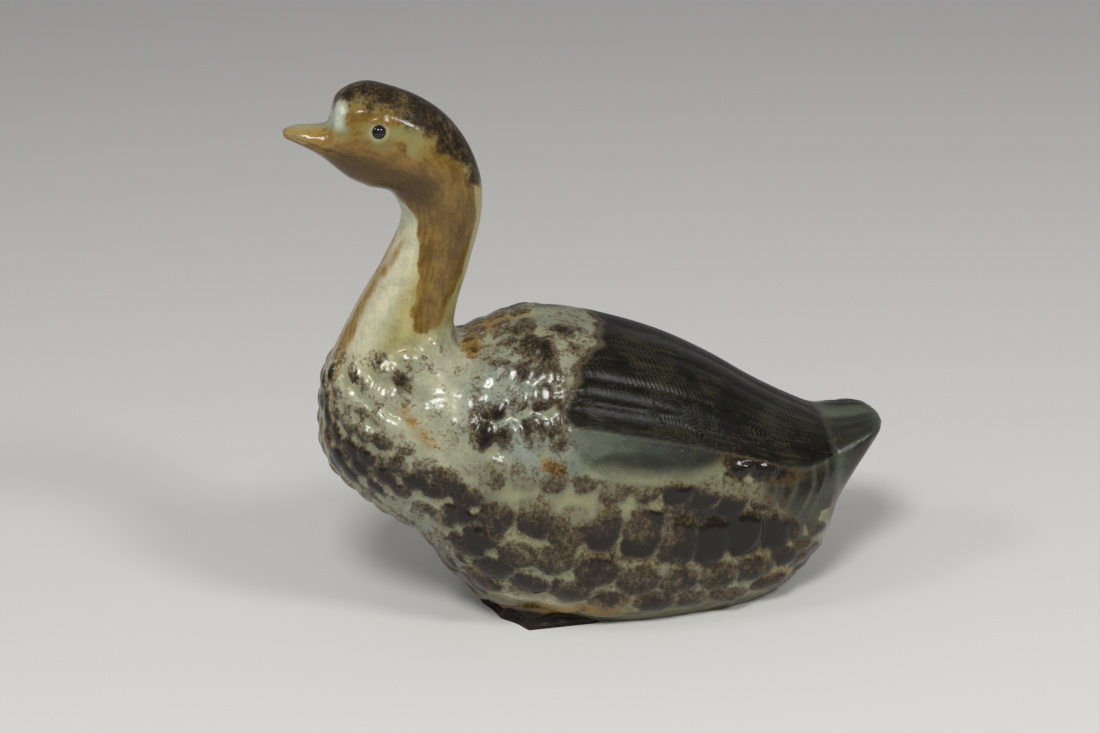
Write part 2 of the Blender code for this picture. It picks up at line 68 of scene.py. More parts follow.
SECTIONS = (
    Section("tail_tip", (104.7, 55.9), (103.4, 53.4), 5.5, 0.60, 2.0),
    Section("tail_end", (102.8, 57.5), (100.4, 49.6), 11.6, 0.70, 2.1),
    Section("tail_fan", (98.8, 58.2), (95.2, 43.4), 16.9, 0.75, 2.3),
    Section("tail_mid", (92.8, 58.1), (89.4, 34.4), 20.3, 0.76, 2.4),
    Section("tail_root", (86.0, 58.4), (84.0, 25.0), 23.5, 0.70, 2.3),
    Section("rump_end", (80.0, 60.0), (79.0, 13.2), 28.0, 0.60, 2.3),
    Section("rump", (72.0, 64.3), (71.0, 4.4), 32.3, 0.50, 2.3),
    Section("haunch", (60.0, 71.5), (60.0, -4.0), 36.9, 0.47, 2.4),
    Section("loin", (45.0, 82.0), (45.0, -10.0), 40.4, 0.45, 2.5),
    Section("mid_back", (26.0, 93.2), (26.0, -12.5), 43.0, 0.44, 2.5),
    Section("belly", (6.0, 101.4), (7.0, -13.0), 44.6, 0.44, 2.5),
    Section("shoulder", (-12.0, 106.7), (-12.0, -8.0), 45.0, 0.44, 2.5),
    Section("fore_back", (-28.0, 107.0), (-30.0, -1.0), 43.0, 0.45, 2.4),
    Section("fore_belly", (-39.0, 104.6), (-44.0, 3.0), 39.5, 0.46, 2.3),
    Section("keel", (-45.0, 102.9), (-55.5, 15.0), 37.0, 0.45, 2.2),
    Section("low_breast", (-48.0, 102.4), (-67.3, 32.4), 35.0, 0.45, 2.1),
    Section("mid_breast", (-49.3, 102.5), (-82.2, 44.2), 33.0, 0.46, 2.05),
    Section("full_breast", (-50.3, 104.3), (-98.9, 66.5), 27.5, 0.48, 2.0),
    Section("upper_breast", (-50.4, 106.0), (-98.4, 78.0), 24.5, 0.50, 2.0),
    Section("crop", (-50.3, 108.0), (-97.0, 90.5), 21.5, 0.50, 2.0),
    Section("neck_foot", (-48.0, 117.5), (-85.0, 115.4), 16.0, 0.50, 2.0),
    Section("low_neck", (-43.0, 131.5), (-72.2, 135.5), 13.3, 0.50, 2.0),
    Section("high_neck", (-38.0, 149.0), (-66.0, 150.5), 12.6, 0.50, 2.0),
    Section("throat", (-37.5, 157.0), (-67.8, 155.8), 12.8, 0.50, 2.0),
    Section("cheek", (-49.0, 184.0), (-78.0, 161.4), 13.8, 0.50, 2.0),
    Section("crown", (-67.0, 195.3), (-84.0, 165.0), 13.0, 0.50, 2.0),
    Section("brow", (-75.5, 197.6), (-86.5, 167.3), 12.2, 0.50, 2.0),
    Section("knob_top", (-85.6, 193.0), (-90.0, 170.8), 9.8, 0.50, 2.0),
    Section("knob_front", (-86.9, 188.3), (-91.2, 172.0), 8.8, 0.50, 2.0),
    Section("beak_root", (-88.0, 184.6), (-92.4, 173.0), 8.1, 0.50, 2.0),
    Section("beak_mid", (-91.0, 183.9), (-94.5, 174.6), 7.4, 0.50, 2.0),
    Section("beak_end", (-101.5, 183.9), (-101.6, 178.9), 4.3, 0.50, 2.0),
    Section("beak_tip", (-104.4, 183.0), (-104.2, 180.4), 2.4, 0.50, 2.0),
)


def linear(colour: str) -> tuple[float, float, float, float]:
    """Turn an sRGB hex colour into linear values.

    Args:
        colour: Hex colour such as "#a9a57e".

    Returns:
        Linear red, green, blue and an alpha of 1.
    """
    shares = [int(colour[i:i + 2], 16) / 255.0 for i in (1, 3, 5)]
    red, green, blue = [s / 12.92 if s <= 0.04045 else ((s + 0.055) / 1.055) ** 2.4
                        for s in shares]
    return red, green, blue, 1.0


def rising(low: Any, high: Any, value: Any) -> np.ndarray:
    """Rise smoothly from 0 at the low value to 1 at the high one."""
    share = np.clip((value - low) / (high - low), 0.0, 1.0)
    return share * share * (3.0 - 2.0 * share)


def between(low: float, high: float, soft: float, value: np.ndarray) -> np.ndarray:
    """1 between two bounds and 0 beyond them, with soft ends."""
    half = 0.5 * soft
    return rising(low - half, low + half, value) * (1.0 - rising(high - half, high + half, value))


def wavy(value: np.ndarray, *waves: tuple[float, float]) -> np.ndarray:
    """Sum of sine waves, given as heights and lengths, that roughens an edge."""
    return sum(height * np.sin(value / length) for height, length in waves)


def add_node(tree: bpy.types.NodeTree, kind: str, settings: dict[str, Any] | None = None,
             inputs: dict[Any, Any] | None = None) -> bpy.types.Node:
    """Add a node with its settings, links and values.

    Args:
        tree: Node tree that takes it.
        kind: The node's type name.
        settings: Properties of the node.
        inputs: Input sockets by name or number, each with a socket to link or a value.

    Returns:
        The new node.
    """
    node = tree.nodes.new(kind)
    for name, value in (settings or {}).items():
        setattr(node, name, value)
    for name, value in (inputs or {}).items():
        if isinstance(value, bpy.types.NodeSocket):
            tree.links.new(value, node.inputs[name])
        else:
            node.inputs[name].default_value = value
    return node


def add_piece(name: str, mesh: bpy.types.Mesh) -> bpy.types.Object:
    """Link an object that holds the mesh.

    Args:
        name: The piece's name.
        mesh: Its mesh, in place.

    Returns:
        The new object.
    """
    piece = bpy.data.objects.new(name, mesh)
    bpy.context.scene.collection.objects.link(piece)
    return piece


def baked(piece: bpy.types.Object) -> bpy.types.Mesh:
    """Plain mesh of an object with its modifiers applied."""
    graph = bpy.context.evaluated_depsgraph_get()
    return bpy.data.meshes.new_from_object(piece.evaluated_get(graph), depsgraph=graph)


def read_values(mesh: bpy.types.Mesh, name: str, width: int = 1) -> np.ndarray:
    """Read what an attribute holds for each vertex.

    Args:
        mesh: Mesh with the attribute.
        name: The attribute's name.
        width: Numbers a vertex, 1 or 3.

    Returns:
        One number or one row a vertex.
    """
    values = np.empty(width * len(mesh.vertices), dtype=np.float32)
    mesh.attributes[name].data.foreach_get("value" if width == 1 else "vector", values)
    values = values.astype(float)
    return values if width == 1 else values.reshape(-1, width)


def store(mesh: bpy.types.Mesh, name: str, values: np.ndarray) -> None:
    """Store numbers, vectors or colours on the vertices.

    Args:
        mesh: Mesh that takes the attribute.
        name: The attribute's name.
        values: One number, three or four numbers a vertex.
    """
    width = 1 if values.ndim == 1 else values.shape[1]
    kind, key = {1: ("FLOAT", "value"), 3: ("FLOAT_VECTOR", "vector"),
                 4: ("FLOAT_COLOR", "color")}[width]
    held = mesh.attributes.get(name) or mesh.attributes.new(name, kind, "POINT")
    held.data.foreach_set(key, np.ascontiguousarray(values, dtype=np.float32).ravel())


class SkinLoft:
    """A smooth surface through the sections, read by station along it and angle around it."""

    def __init__(self, sections: tuple[Section, ...]) -> None:
        """Lay the sections out along the path.

        Args:
            sections: Sections from the tail to the beak.
        """
        back = np.array([section.back for section in sections]) * MM
        belly = np.array([section.belly for section in sections]) * MM
        steps = np.maximum(np.linalg.norm(np.diff(back, axis=0), axis=1),
                           np.linalg.norm(np.diff(belly, axis=0), axis=1))
        self.names = [section.name for section in sections]
        self.stations = np.concatenate([[0.0], np.cumsum(steps)])
        self.values = np.column_stack([
            back, belly,
            np.array([section.half_width for section in sections]) * MM,
            [section.widest for section in sections],
            [section.squareness for section in sections],
        ])
        gaps = np.diff(self.stations)[:, None]
        rates = np.diff(self.values, axis=0) / gaps
        inner = (rates[:-1] * gaps[1:] + rates[1:] * gaps[:-1]) / (gaps[1:] + gaps[:-1])
        self.slopes = np.vstack([rates[:1], inner, rates[-1:]])

    def at(self, name: str, share: float = 0.0) -> float:
        """Station of a named section, or a share of the way to the next one.

        Args:
            name: Name of the section.
            share: Share of the way to the next section.

        Returns:
            The station, in metres from the tail.
        """
        index = self.names.index(name)
        following = min(index + 1, len(self.stations) - 1)
        return float((1.0 - share) * self.stations[index] + share * self.stations[following])

    def rise(self, start: tuple[str, float], end: tuple[str, float],
             stations: np.ndarray) -> np.ndarray:
        """Rise from 0 at one place on the path, a section and a share, to 1 at another."""
        return rising(self.at(*start), self.at(*end), stations)

    def frames(self, stations: np.ndarray) -> np.ndarray:
        """Section values at each station, from cubic Hermite curves.

        Args:
            stations: Stations along the path.

        Returns:
            One row of section values a station.
        """
        index = np.clip(np.searchsorted(self.stations, stations, side="right") - 1,
                        0, len(self.stations) - 2)
        gap = (self.stations[index + 1] - self.stations[index])[:, None]
        u = (stations - self.stations[index])[:, None] / gap
        start = (2 * u**3 - 3 * u**2 + 1) * self.values[index]
        start_slope = (u**3 - 2 * u**2 + u) * gap * self.slopes[index]
        end = (3 * u**2 - 2 * u**3) * self.values[index + 1]
        end_slope = (u**3 - u**2) * gap * self.slopes[index + 1]
        return start + start_slope + end + end_slope

    def points(self, stations: np.ndarray, angles: np.ndarray) -> np.ndarray:
        """Surface points, one row per station.

        Args:
            stations: Stations along the path.
            angles: Angles around it; 0 is the back, and the -Y side comes first.

        Returns:
            An array of stations by angles by x, y, z.
        """
        values = self.frames(stations)
        back, belly = values[:, 0:2], values[:, 2:4]
        half_width, widest = values[:, 4], values[:, 5]
        power = 2.0 / values[:, 6]
        centre = belly + widest[:, None] * (back - belly)
        cosine, sine = np.cos(angles), np.sin(angles)
        rise = np.sign(cosine) * np.abs(cosine) ** power[:, None]
        side = np.sign(sine) * np.abs(sine) ** power[:, None]
        reach = np.where(cosine > 0.0, (1.0 - widest)[:, None], widest[:, None]) * rise
        chord = back - belly
        x = centre[:, 0:1] + chord[:, 0:1] * reach
        z = centre[:, 1:2] + chord[:, 1:2] * reach
        return np.stack([x, -half_width[:, None] * side, z], axis=-1)

    def guide(self, step: float, around: int) -> bpy.types.Mesh:
        """Closed smooth mesh that carries its station and its turn from the back line.

        Args:
            step: Distance between rings.
            around: Points a ring.

        Returns:
            The mesh, with the attributes station and turn.
        """
        count = int(math.ceil(self.stations[-1] / step))
        stations = np.linspace(0.0, self.stations[-1], count + 1)
        angles = np.linspace(0.0, 2.0 * math.pi, around, endpoint=False)
        points = self.points(stations, angles)
        poles = [points[0].mean(axis=0), points[-1].mean(axis=0)]
        vertices = np.vstack([points.reshape(-1, 3), poles])
        ring, place = np.meshgrid(np.arange(count) * around, np.arange(around), indexing="ij")
        turned = (place + 1) % around
        quads = np.stack([ring + place, ring + turned, ring + around + turned,
                          ring + around + place], axis=-1).reshape(-1, 4)
        last, pole = count * around, len(vertices) - 1
        faces = quads.tolist()
        faces += [((i + 1) % around, i, pole - 1) for i in range(around)]
        faces += [(last + i, last + (i + 1) % around, pole) for i in range(around)]
        mesh = bpy.data.meshes.new("guide")
        mesh.from_pydata(vertices.tolist(), [], faces)
        degrees = np.degrees(angles)
        folded = np.where(degrees > 180.0, 360.0 - degrees, degrees)
        station, turn = np.meshgrid(stations, folded, indexing="ij")
        ends = [self.stations[0], self.stations[-1]]
        store(mesh, "station", np.concatenate([station.ravel(), ends]))
        store(mesh, "turn", np.concatenate([turn.ravel(), [90.0, 90.0]]))
        face_out(mesh)
        return mesh


def face_out(mesh: bpy.types.Mesh) -> None:
    """Turn every face outward and shade it smooth.

    Args:
        mesh: A closed mesh.
    """
    work = bmesh.new()
    work.from_mesh(mesh)
    bmesh.ops.recalc_face_normals(work, faces=work.faces)
    for face in work.faces:
        face.smooth = True
    work.to_mesh(mesh)
    work.free()


class Glaze(Enum):
    """Coloured glazes that the brush lays over the celadon."""

    IRON = "iron"
    PALE = "pale"
    OCHRE = "ochre"
    RUST = "rust"
    COOL = "cool"
    THICK = "thick"
    CREAM = "cream"
    FOLD = "fold"


class Stroke(NamedTuple):
    """A dab of glaze on the near side, in millimetres; the far side gets the same one."""

    start: tuple[float, float, float]
    end: tuple[float, float, float]
    radius: float
    amount: float


# Where each stroke starts and ends, its radius and its amount
BRUSHED = {
    # Dark patches on the breast, the flank, the back and the jaw
    Glaze.IRON: (
        (-93, -7, 99, -96, -11, 80, 8.0, 0.34),
        (-91, -20, 69, -80, -28, 66, 9.0, 0.75),
        (-67, -33, 61, -62, -34, 63, 5.5, 0.60),
        (-53, -36, 55, -49, -36, 39, 8.0, 0.25),
        (-40, -40, 48, -29, -43, 44, 7.0, 0.25),
        (-8, -45, 37, 13, -44, 34, 6.5, 0.45),
        (20, -43, 47, 48, -40, 35, 8.5, 0.95),
        (34, -42, 42, 56, -38, 32, 8.0, 0.95),
        (-42, -19, 100, -30, -28, 96, 2.2, 0.45),
        (-30, -13, 105, -23, -20, 104, 4.0, 0.35),
        (-22, -24, 101, -22, -24, 101, 3.5, 0.45),
        (-11, -23, 102, -11, -23, 102, 3.5, 0.45),
        (-14, -12, 106, -13, -13, 106, 4.0, 0.55),
        (-24, -39, 82, -19, -41, 76, 4.0, 0.40),
        (-46, -32, 83, -44, -35, 77, 3.5, 0.65),
        (-39, -37, 77, -39, -37, 77, 3.5, 0.65),
        (-39, -33, 85, -39, -33, 85, 3.2, 0.70),
        (-32, -37, 81, -32, -37, 81, 3.5, 0.55),
        (-72, -23, 97, -71, -25, 92, 3.0, 0.70),
        (-79, -18, 104, -79, -18, 104, 3.0, 0.70),
        (46, -28, 72, 48, -29, 70, 5.0, 0.50),
        (42, -38, 60, 64, -34, 52, 6.0, 0.75),
        (-60, -35, 52, -48, -36, 30, 9.0, 0.18),
        (-20, -43, 60, -8, -44, 52, 5.0, 0.15),
        (0, -44, 55, 20, -43, 53, 4.5, 0.15),
        (-12, -42, 33, 24, -42, 29, 4.0, 0.40),
        (26, -42, 34, 44, -41, 27, 6.0, 0.45),
        (-2, -45, 48, 14, -44, 45, 4.0, 0.25),
        (-24, -24, 101, -16, -38, 88, 6.0, 0.28),
        (-88, -5, 170, -60, -8, 160, 5.5, 0.60),
        (-84, -10, 173, -60, -12, 164, 5.0, 0.50),
        (-60, -12, 160, -52, -13, 154, 6.0, 0.22),
        (-46, -12, 148, -50, -14, 125, 3.5, 0.35),
    ),
    # Celadon that the iron leaves free
    Glaze.PALE: (
        (-41, -23, 97, -38, -26, 95, 7.0, 0.50),
        (-58, -18, 101, -55, -21, 96, 7.0, 0.60),
        (-73, -26, 91, -75, -28, 83, 6.0, 0.60),
        (-56, -26, 91, -54, -29, 86, 5.0, 0.70),
        (-34, -39, 74, -31, -40, 72, 5.0, 0.50),
        (-22, -44, 53, -8, -45, 49, 4.0, 0.15),
        (-4, -45, 45, 7, -45, 45, 3.5, 0.20),
        (34, -41, 53, 51, -39, 46, 5.0, 0.80),
        (65, -34, 43, 71, -33, 39, 5.0, 0.60),
        (-42, -24, 9, -28, -30, 8, 3.0, 0.80),
        (-1, -44, 40, 15, -44, 38, 3.5, 0.55),
        (-14, -22, 102, -15, -27, 99, 3.5, 0.50),
        (-19, -4, 107, -13, -4, 107, 5.0, 0.40),
        (-70, -26, 42, -54, -32, 26, 6.0, 0.45),
        (-34, -38, 80, -16, -41, 73, 5.0, 0.30),
        (-44, -40, 42, -24, -42, 30, 5.0, 0.30),
        (12, -44, 34, 16, -43, 24, 3.5, 0.40),
        (-50, -36, 68, -36, -41, 58, 6.0, 0.30),
    ),
    # Ochre runs on the breast, the base, the back, the lore, the beak and the neck
    Glaze.OCHRE: (
        (-46, -9, 102, -45, -12, 101, 4.5, 0.90),
        (-42, -1, 104, -38, -2, 105, 5.0, 0.65),
        (-11, -32, 94, -10, -31, 95, 3.0, 0.80),
        (-25, -42, 68, -21, -43, 66, 3.0, 0.80),
        (-19, -35, 89, -18, -36, 88, 3.0, 0.60),
        (-52, -29, 25, -45, -31, 18, 4.0, 0.85),
        (-37, -32, 10, -4, -40, 8, 3.5, 0.75),
        (-8, -41, 13, 10, -42, 13, 5.0, 0.55),
        (55, -35, 12, 70, -26, 13, 5.0, 0.55),
        (-69, 0, 142, -87, -4, 110, 4.0, 0.45),
        (-90, -4, 106, -96, -12, 74, 6.5, 0.55),
        (-72, -27, 87, -64, -33, 76, 4.0, 0.55),
        (28, -43, 38, 31, -42, 25, 3.0, 0.55),
        (-34, -2, 106, -26, -2, 107, 7.0, 0.55),
        (-82, -11, 184, -74, -12, 177, 4.0, 0.25),
        (-80, -9, 190, -74, -11, 187, 3.0, 0.50),
        (-94, -7, 180, -80, -12, 178, 4.0, 0.55),
        (-104, -1, 182, -90, -6, 181, 5.0, 0.50),
        (-66, -7, 142, -73, -5, 131, 2.5, 0.50),
        (-74, -4, 128, -90, -6, 106, 3.5, 0.50),
    ),
    # Blue-green clouds on the shoulder and the breast, and on the low flank, where they are partly
    # a painted reflection of the floor
    Glaze.COOL: (
        (-28, -38, 84, -12, -42, 72, 7.0, 0.50),
        (-44, -32, 88, -34, -38, 78, 9.0, 0.75),
        (-36, -24, 97, -26, -32, 93, 6.0, 0.60),
        (-88, -22, 66, -70, -28, 52, 6.0, 0.40),
        (-30, -40, 68, -16, -43, 64, 5.0, 0.40),
        (-70, -26, 42, -52, -32, 24, 8.0, 0.45),
        # The low flank's blue-grey is partly a painted reflection of the floor
        (-52, -36, 30, -11, -42, 24, 7.0, 0.45),
        (-2, -42, 18, 40, -41, 14, 6.0, 0.50),
    ),
    # Thick pools that fill the carving
    Glaze.THICK: (
        (-70, -22, 96, -62, -31, 76, 8.0, 0.85),
        (-56, -22, 97, -52, -30, 86, 6.0, 0.80),
        (-42, -20, 99, -36, -28, 92, 7.0, 0.70),
    ),
    # The raised fold from the neck down to the shoulder
    Glaze.FOLD: (
        (-57, -24, 95, -53, -31, 82, 4.0, 0.9),
        (-53, -31, 82, -44, -38, 66, 4.0, 0.9),
    ),
    # Cream glaze above the feet and round the foot of the neck
    Glaze.CREAM: (
        (-43, -31, 16, -26, -35, 12, 4.0, 0.95),
        (-26, -36, 12, -16, -38, 10, 3.0, 0.70),
        (-60, -22, 99, -56, -28, 88, 5.0, 0.70),
        (-50, -15, 101, -60, -16, 103, 5.0, 0.60),
        (-70, -27, 84, -61, -33, 72, 5.5, 0.55),
        (-80, -22, 92, -76, -26, 84, 4.0, 0.40),
    ),
    # Rust on the feet, the chin, the jaw, the lore, the brow, the cheek and the beak
    Glaze.RUST: (
        (-46, -8, 7, -40, -22, 7, 2.2, 0.90),
        (-40, -22, 7, -18, -36, 7, 2.2, 0.90),
        (-91, -3, 172, -66, -9, 163, 6.5, 0.90),
        (-86, -10, 174, -62, -13, 168, 5.0, 0.75),
        (-82, -11, 177, -67, -12.5, 171, 4.2, 0.95),
        (-80, -11, 188, -66, -11.7, 186, 3.2, 0.65),
        (-70, -13, 179, -65, -13, 178, 2.2, 0.60),
        (-82, -11, 186, -78, -12, 180, 2.8, 0.55),
        (-62, -13, 166, -50, -12, 163, 4.0, 0.55),
        (-55, -10, 180, -47, -9, 170, 5.0, 0.55),
        (-79, -8, 191, -64, -9, 190, 3.6, 0.60),
        (-103, -2, 179.5, -87, -8, 174.5, 2.4, 0.75),
    ),
}
STROKES = {glaze: [Stroke(row[:3], row[3:6], *row[6:]) for row in rows]
           for glaze, rows in BRUSHED.items()}


class Leaf(NamedTuple):
    """A single pointed feather on the near side, in millimetres; the far side has its twin."""

    start: tuple[float, float]   # x and z of its root
    end: tuple[float, float]     # x and z of its tip
    half_width: float
    height: float
    dark: float                  # amount of iron on it


LEAVES = (
    Leaf((-12.0, 67.5), (21.0, 62.5), 5.4, 0.7, 0.72),
    Leaf((0.0, 73.5), (36.0, 59.0), 5.0, 0.6, 0.30),
    Leaf((23.0, 66.5), (54.0, 55.0), 4.2, 0.6, 0.08),
    Leaf((14.0, 84.0), (31.0, 69.0), 4.4, 0.5, 0.00),
    Leaf((34.0, 75.5), (56.0, 64.0), 4.2, 0.5, 0.15),
)


def dabs(glaze: Glaze, places: np.ndarray) -> np.ndarray:
    """Amount of one brushed glaze.

    Args:
        glaze: Which glaze.
        places: Vertices turned to the near side, in metres.

    Returns:
        The amount at each vertex, from 0 to 1.
    """
    amount = np.zeros(len(places))
    for stroke in STROKES[glaze]:
        start, end = np.array(stroke.start) * MM, np.array(stroke.end) * MM
        path = end - start
        long = max(float(path @ path), SHORTEST**2)
        share = np.clip((places - start) @ path / long, 0.0, 1.0)
        gap = np.linalg.norm(places - start - share[:, None] * path, axis=-1)
        dab = stroke.amount * np.exp(-(gap / (stroke.radius * MM)) ** 2)
        amount = 1.0 - (1.0 - amount) * (1.0 - dab)
    return amount


@dataclass(frozen=True)
class Reading:
    """What the skin's vertices know of their place on the bird.

    Attributes:
        places: x, y and z of each vertex, in metres, turned to the near side.
        station: Station along the path, in metres from the tail.
        turn: Degrees from the back line, from 0 to 180.
        off_skin: Distance from the loft, in metres; more than 0 on the feet.
    """

    places: np.ndarray
    station: np.ndarray
    turn: np.ndarray
    off_skin: np.ndarray


@dataclass
class Plumage:
    """The carved feathers, brows, mouth and neck fold, as a relief on the skin.

    A turn is in degrees from the back line.

    Attributes:
        loft: The bird's smooth skin.
        wing_edge: Turn of the wing's lower edge.
        lane_edges: Turns of the grooves between the long wing feathers.
        vane_bulge: How far a wing feather stands out from its grooves.
        wing_step: Height of the wing's lower edge over the layer below it.
        layer_edge: Turn of the lower edge of the layer below the wing.
        layer_step: Height of that edge.
        hem: Height of the smooth band above the base.
        rows: Rows of scale feathers on each side.
        breast_pitch: Length of a scale feather on the breast.
        flank_pitch: Length of a scale feather on the flank.
        breast_height: How far a breast feather stands out.
        flank_height: How far a flank feather stands out.
        rear_pitch: Length of a scale feather behind the flank.
        rear_height: How far one of those stands out.
        arc_stations: Rims of the tail coverts, as sections and shares.
        arc_step: Height of a covert's rim.
        tail_grooves: Grooves on each side of the tail fan.
        tail_groove_depth: Their depth.
        eye_station: Section and share where the eye sits.
        eye_turn: Turn of the eye.
        eye_diameter: Diameter of the eye bead.
        lid_height: How far the eyelids stand out.
        brow_height: How far the brow stands out.
        mouth_depth: Depth of the mouth's line.
        mouth_width: Half width of that line.
        crease_depth: Depth of the crease at the foot of the neck.
        fold_height: How far the fold from the neck to the shoulder stands out.
        wing_tip_turn: Turn of the wing's foremost place.
        wing_curve: How keenly the wing's front edge curves there.
        ragged_edge: Half width of the wing's front edge, where the glaze breaks.
        keen_edge: The same in the clay.
        seed: Seed of the scale feathers' scatter.
        scatter: How far a scale feather strays, as a share of its pitch.
        scale_length: Half length of a scale feather, as a share of its pitch.
        scale_width: Half width of it, as a share of its row.
    """

    loft: SkinLoft
    wing_edge: float = 60.0
    lane_edges: tuple[float, ...] = (0.0, 15.0, 28.0, 39.0, 49.5, 60.0)
    vane_bulge: float = 1.2 * MM
    wing_step: float = 1.9 * MM
    layer_edge: float = 76.0
    layer_step: float = 1.3 * MM
    hem: float = 11.0 * MM
    rows: int = 13
    breast_pitch: float = 8.4 * MM
    flank_pitch: float = 14.5 * MM
    breast_height: float = 1.9 * MM
    flank_height: float = 2.4 * MM
    rear_pitch: float = 7.5 * MM
    rear_height: float = 1.3 * MM
    arc_stations: tuple[tuple[str, float], ...] = (
        ("haunch", 0.20), ("rump", 0.55), ("rump_end", 0.85), ("rump_end", 0.20))
    arc_step: float = 0.8 * MM
    tail_grooves: int = 4
    tail_groove_depth: float = 0.9 * MM
    eye_station: tuple[str, float] = ("cheek", 0.94)
    eye_turn: float = 77.0
    eye_diameter: float = 6.4 * MM
    lid_height: float = 0.5 * MM
    brow_height: float = 0.6 * MM
    mouth_depth: float = 0.7 * MM
    mouth_width: float = 0.55 * MM
    crease_depth: float = 0.6 * MM
    fold_height: float = 1.1 * MM
    wing_tip_turn: float = 52.0
    wing_curve: float = 1.3
    ragged_edge: float = 3.5 * MM
    keen_edge: float = 1.5 * MM
    seed: int = 7
    scatter: float = 0.12
    scale_length: float = 0.60
    scale_width: float = 0.57

    def wing_front(self, turn: np.ndarray) -> np.ndarray:
        """Station of the wing's front edge.

        Args:
            turn: Degrees from the back line.

        Returns:
            The station at each angle.
        """
        spine, foremost = self.loft.at("belly", 0.2), self.loft.at("shoulder", 0.4)
        tip = self.wing_tip_turn
        share = np.clip(1.0 - np.abs(turn - tip) / tip, 0.0, 1.0) ** self.wing_curve
        return spine + (foremost - spine) * share

    def layer_turn(self, station: np.ndarray) -> np.ndarray:
        """Degrees to the lower edge of the layer below the wing."""
        taper = self.loft.rise(("haunch", 0.4), ("mid_back", 0.4), station)
        return self.wing_edge + (self.layer_edge - self.wing_edge) * taper

    def flank(self, station: np.ndarray) -> np.ndarray:
        """1 on the flank, with large shingled feathers, falling to 0 on the breast."""
        return 1.0 - self.loft.rise(("keel", 0.0), ("mid_breast", 0.0), station)

    def flank_fade(self, station: np.ndarray) -> np.ndarray:
        """1 on the breast, falling to 0 behind the shoulder."""
        return self.loft.rise(("shoulder", 0.5), ("low_breast", 0.0), station)

    def wing_mask(self, at: Reading, ragged: bool = False) -> np.ndarray:
        """1 on the wing and 0 off it.

        Args:
            at: The skin's reading.
            ragged: Whether its front edge is ragged, as the brush left it.

        Returns:
            The share at each vertex.
        """
        front = self.wing_front(at.turn)
        soft = self.ragged_edge if ragged else self.keen_edge
        if ragged:
            front = front + wavy(at.turn, (1.6 * MM, 4.1), (0.7 * MM, 1.7))
        rear = self.loft.at("tail_root", 0.6)
        return (rising(self.wing_edge + 0.8, self.wing_edge - 0.8, at.turn)
                * rising(-soft, soft, front - at.station)
                * rising(rear - 5.0 * MM, rear + 5.0 * MM, at.station))

    def layer_mask(self, at: Reading) -> np.ndarray:
        """1 on the layer of feathers below the wing.

        Args:
            at: The skin's reading.

        Returns:
            The share at each vertex.
        """
        edge = self.layer_turn(at.station)
        front = self.loft.at("shoulder", 0.35) - 0.5 * MM * np.abs(at.turn - 62.0)
        return (rising(self.wing_edge - 0.8, self.wing_edge + 0.8, at.turn)
                * rising(0.8, -0.8, at.turn - edge)
                * rising(-2.0 * MM, 2.0 * MM, front - at.station)
                * self.loft.rise(("rump_end", 0.0), ("rump", 0.0), at.station))

    def scale_mask(self, at: Reading) -> np.ndarray:
        """How much of the scale feathers' height a vertex gets.

        Args:
            at: The skin's reading.

        Returns:
            The share at each vertex.
        """
        loft = self.loft
        front = self.wing_front(at.turn)
        winged = rising(self.wing_edge + 1.5, self.wing_edge - 1.5, at.turn) * rising(
            -4.0 * MM, 3.0 * MM, front - at.station)
        layered = rising(1.5, -1.5, at.turn - self.layer_turn(at.station)) * loft.rise(
            ("shoulder", 0.45), ("shoulder", 0.25), at.station)
        open_skin = (1.0 - winged) * (1.0 - layered) * rising(
            0.1 * self.hem, 0.7 * self.hem, at.places[:, 2])
        behind = rising(85.0, 97.0, at.turn)
        rear_end = loft.at("haunch", 0.1) + behind * (loft.at("rump_end") - loft.at("haunch", 0.1))
        soft = (8.0 - 5.0 * behind) * MM
        rear = rising(-soft, soft, at.station - rear_end)
        neck = 1.0 - loft.rise(("crop", 0.1), ("crop", 0.5), at.station)
        shoulder = 0.55 + 0.45 * rising(38.0, 62.0, at.turn)
        on_skin = 1.0 - rising(0.4 * MM, 1.0 * MM, at.off_skin)
        filled = 1.0 - 0.85 * dabs(Glaze.THICK, at.places)
        return open_skin * rear * neck * shoulder * on_skin * filled

    def lanes(self, at: Reading) -> tuple[np.ndarray, np.ndarray]:
        """Where a vertex lies on its long wing feather.

        Args:
            at: The skin's reading.

        Returns:
            The feather's number, and the place across it from 0 at its upper edge to 1.
        """
        lane = np.interp(at.turn, self.lane_edges, range(len(self.lane_edges)))
        number = np.minimum(np.floor(lane), len(self.lane_edges) - 2)
        return number, lane - number

    def wing(self, at: Reading) -> np.ndarray:
        """Height of the long wing feathers and of the layer below them.

        Args:
            at: The skin's reading.

        Returns:
            The height at each vertex.
        """
        _, share = self.lanes(at)
        across = 2.0 * share - 1.0
        front = self.wing_front(at.turn) - 3.5 * MM * across**2
        rise = rising(0.0, 6.0 * MM, front - at.station)
        rear = self.loft.at("tail_root", 0.6)
        fall = rising(rear, rear + 16.0 * MM, at.station)
        keen = 0.55 + 0.45 * self.loft.rise(("loin", 0.0), ("shoulder", 0.0), at.station)
        vane = keen * self.vane_bulge * (np.sqrt(np.clip(1.0 - across**2, 0.0, 1.0)) - 0.7)
        level = self.wing_step * rising(15.0, self.wing_edge, at.turn)
        inside = rising(self.wing_edge + 0.5, self.wing_edge - 0.5, at.turn)
        layer = self.layer_mask(at) * self.layer_step * rising(
            self.wing_edge - 12.0, self.layer_edge, at.turn)
        return inside * rise * fall * (vane + level) + layer

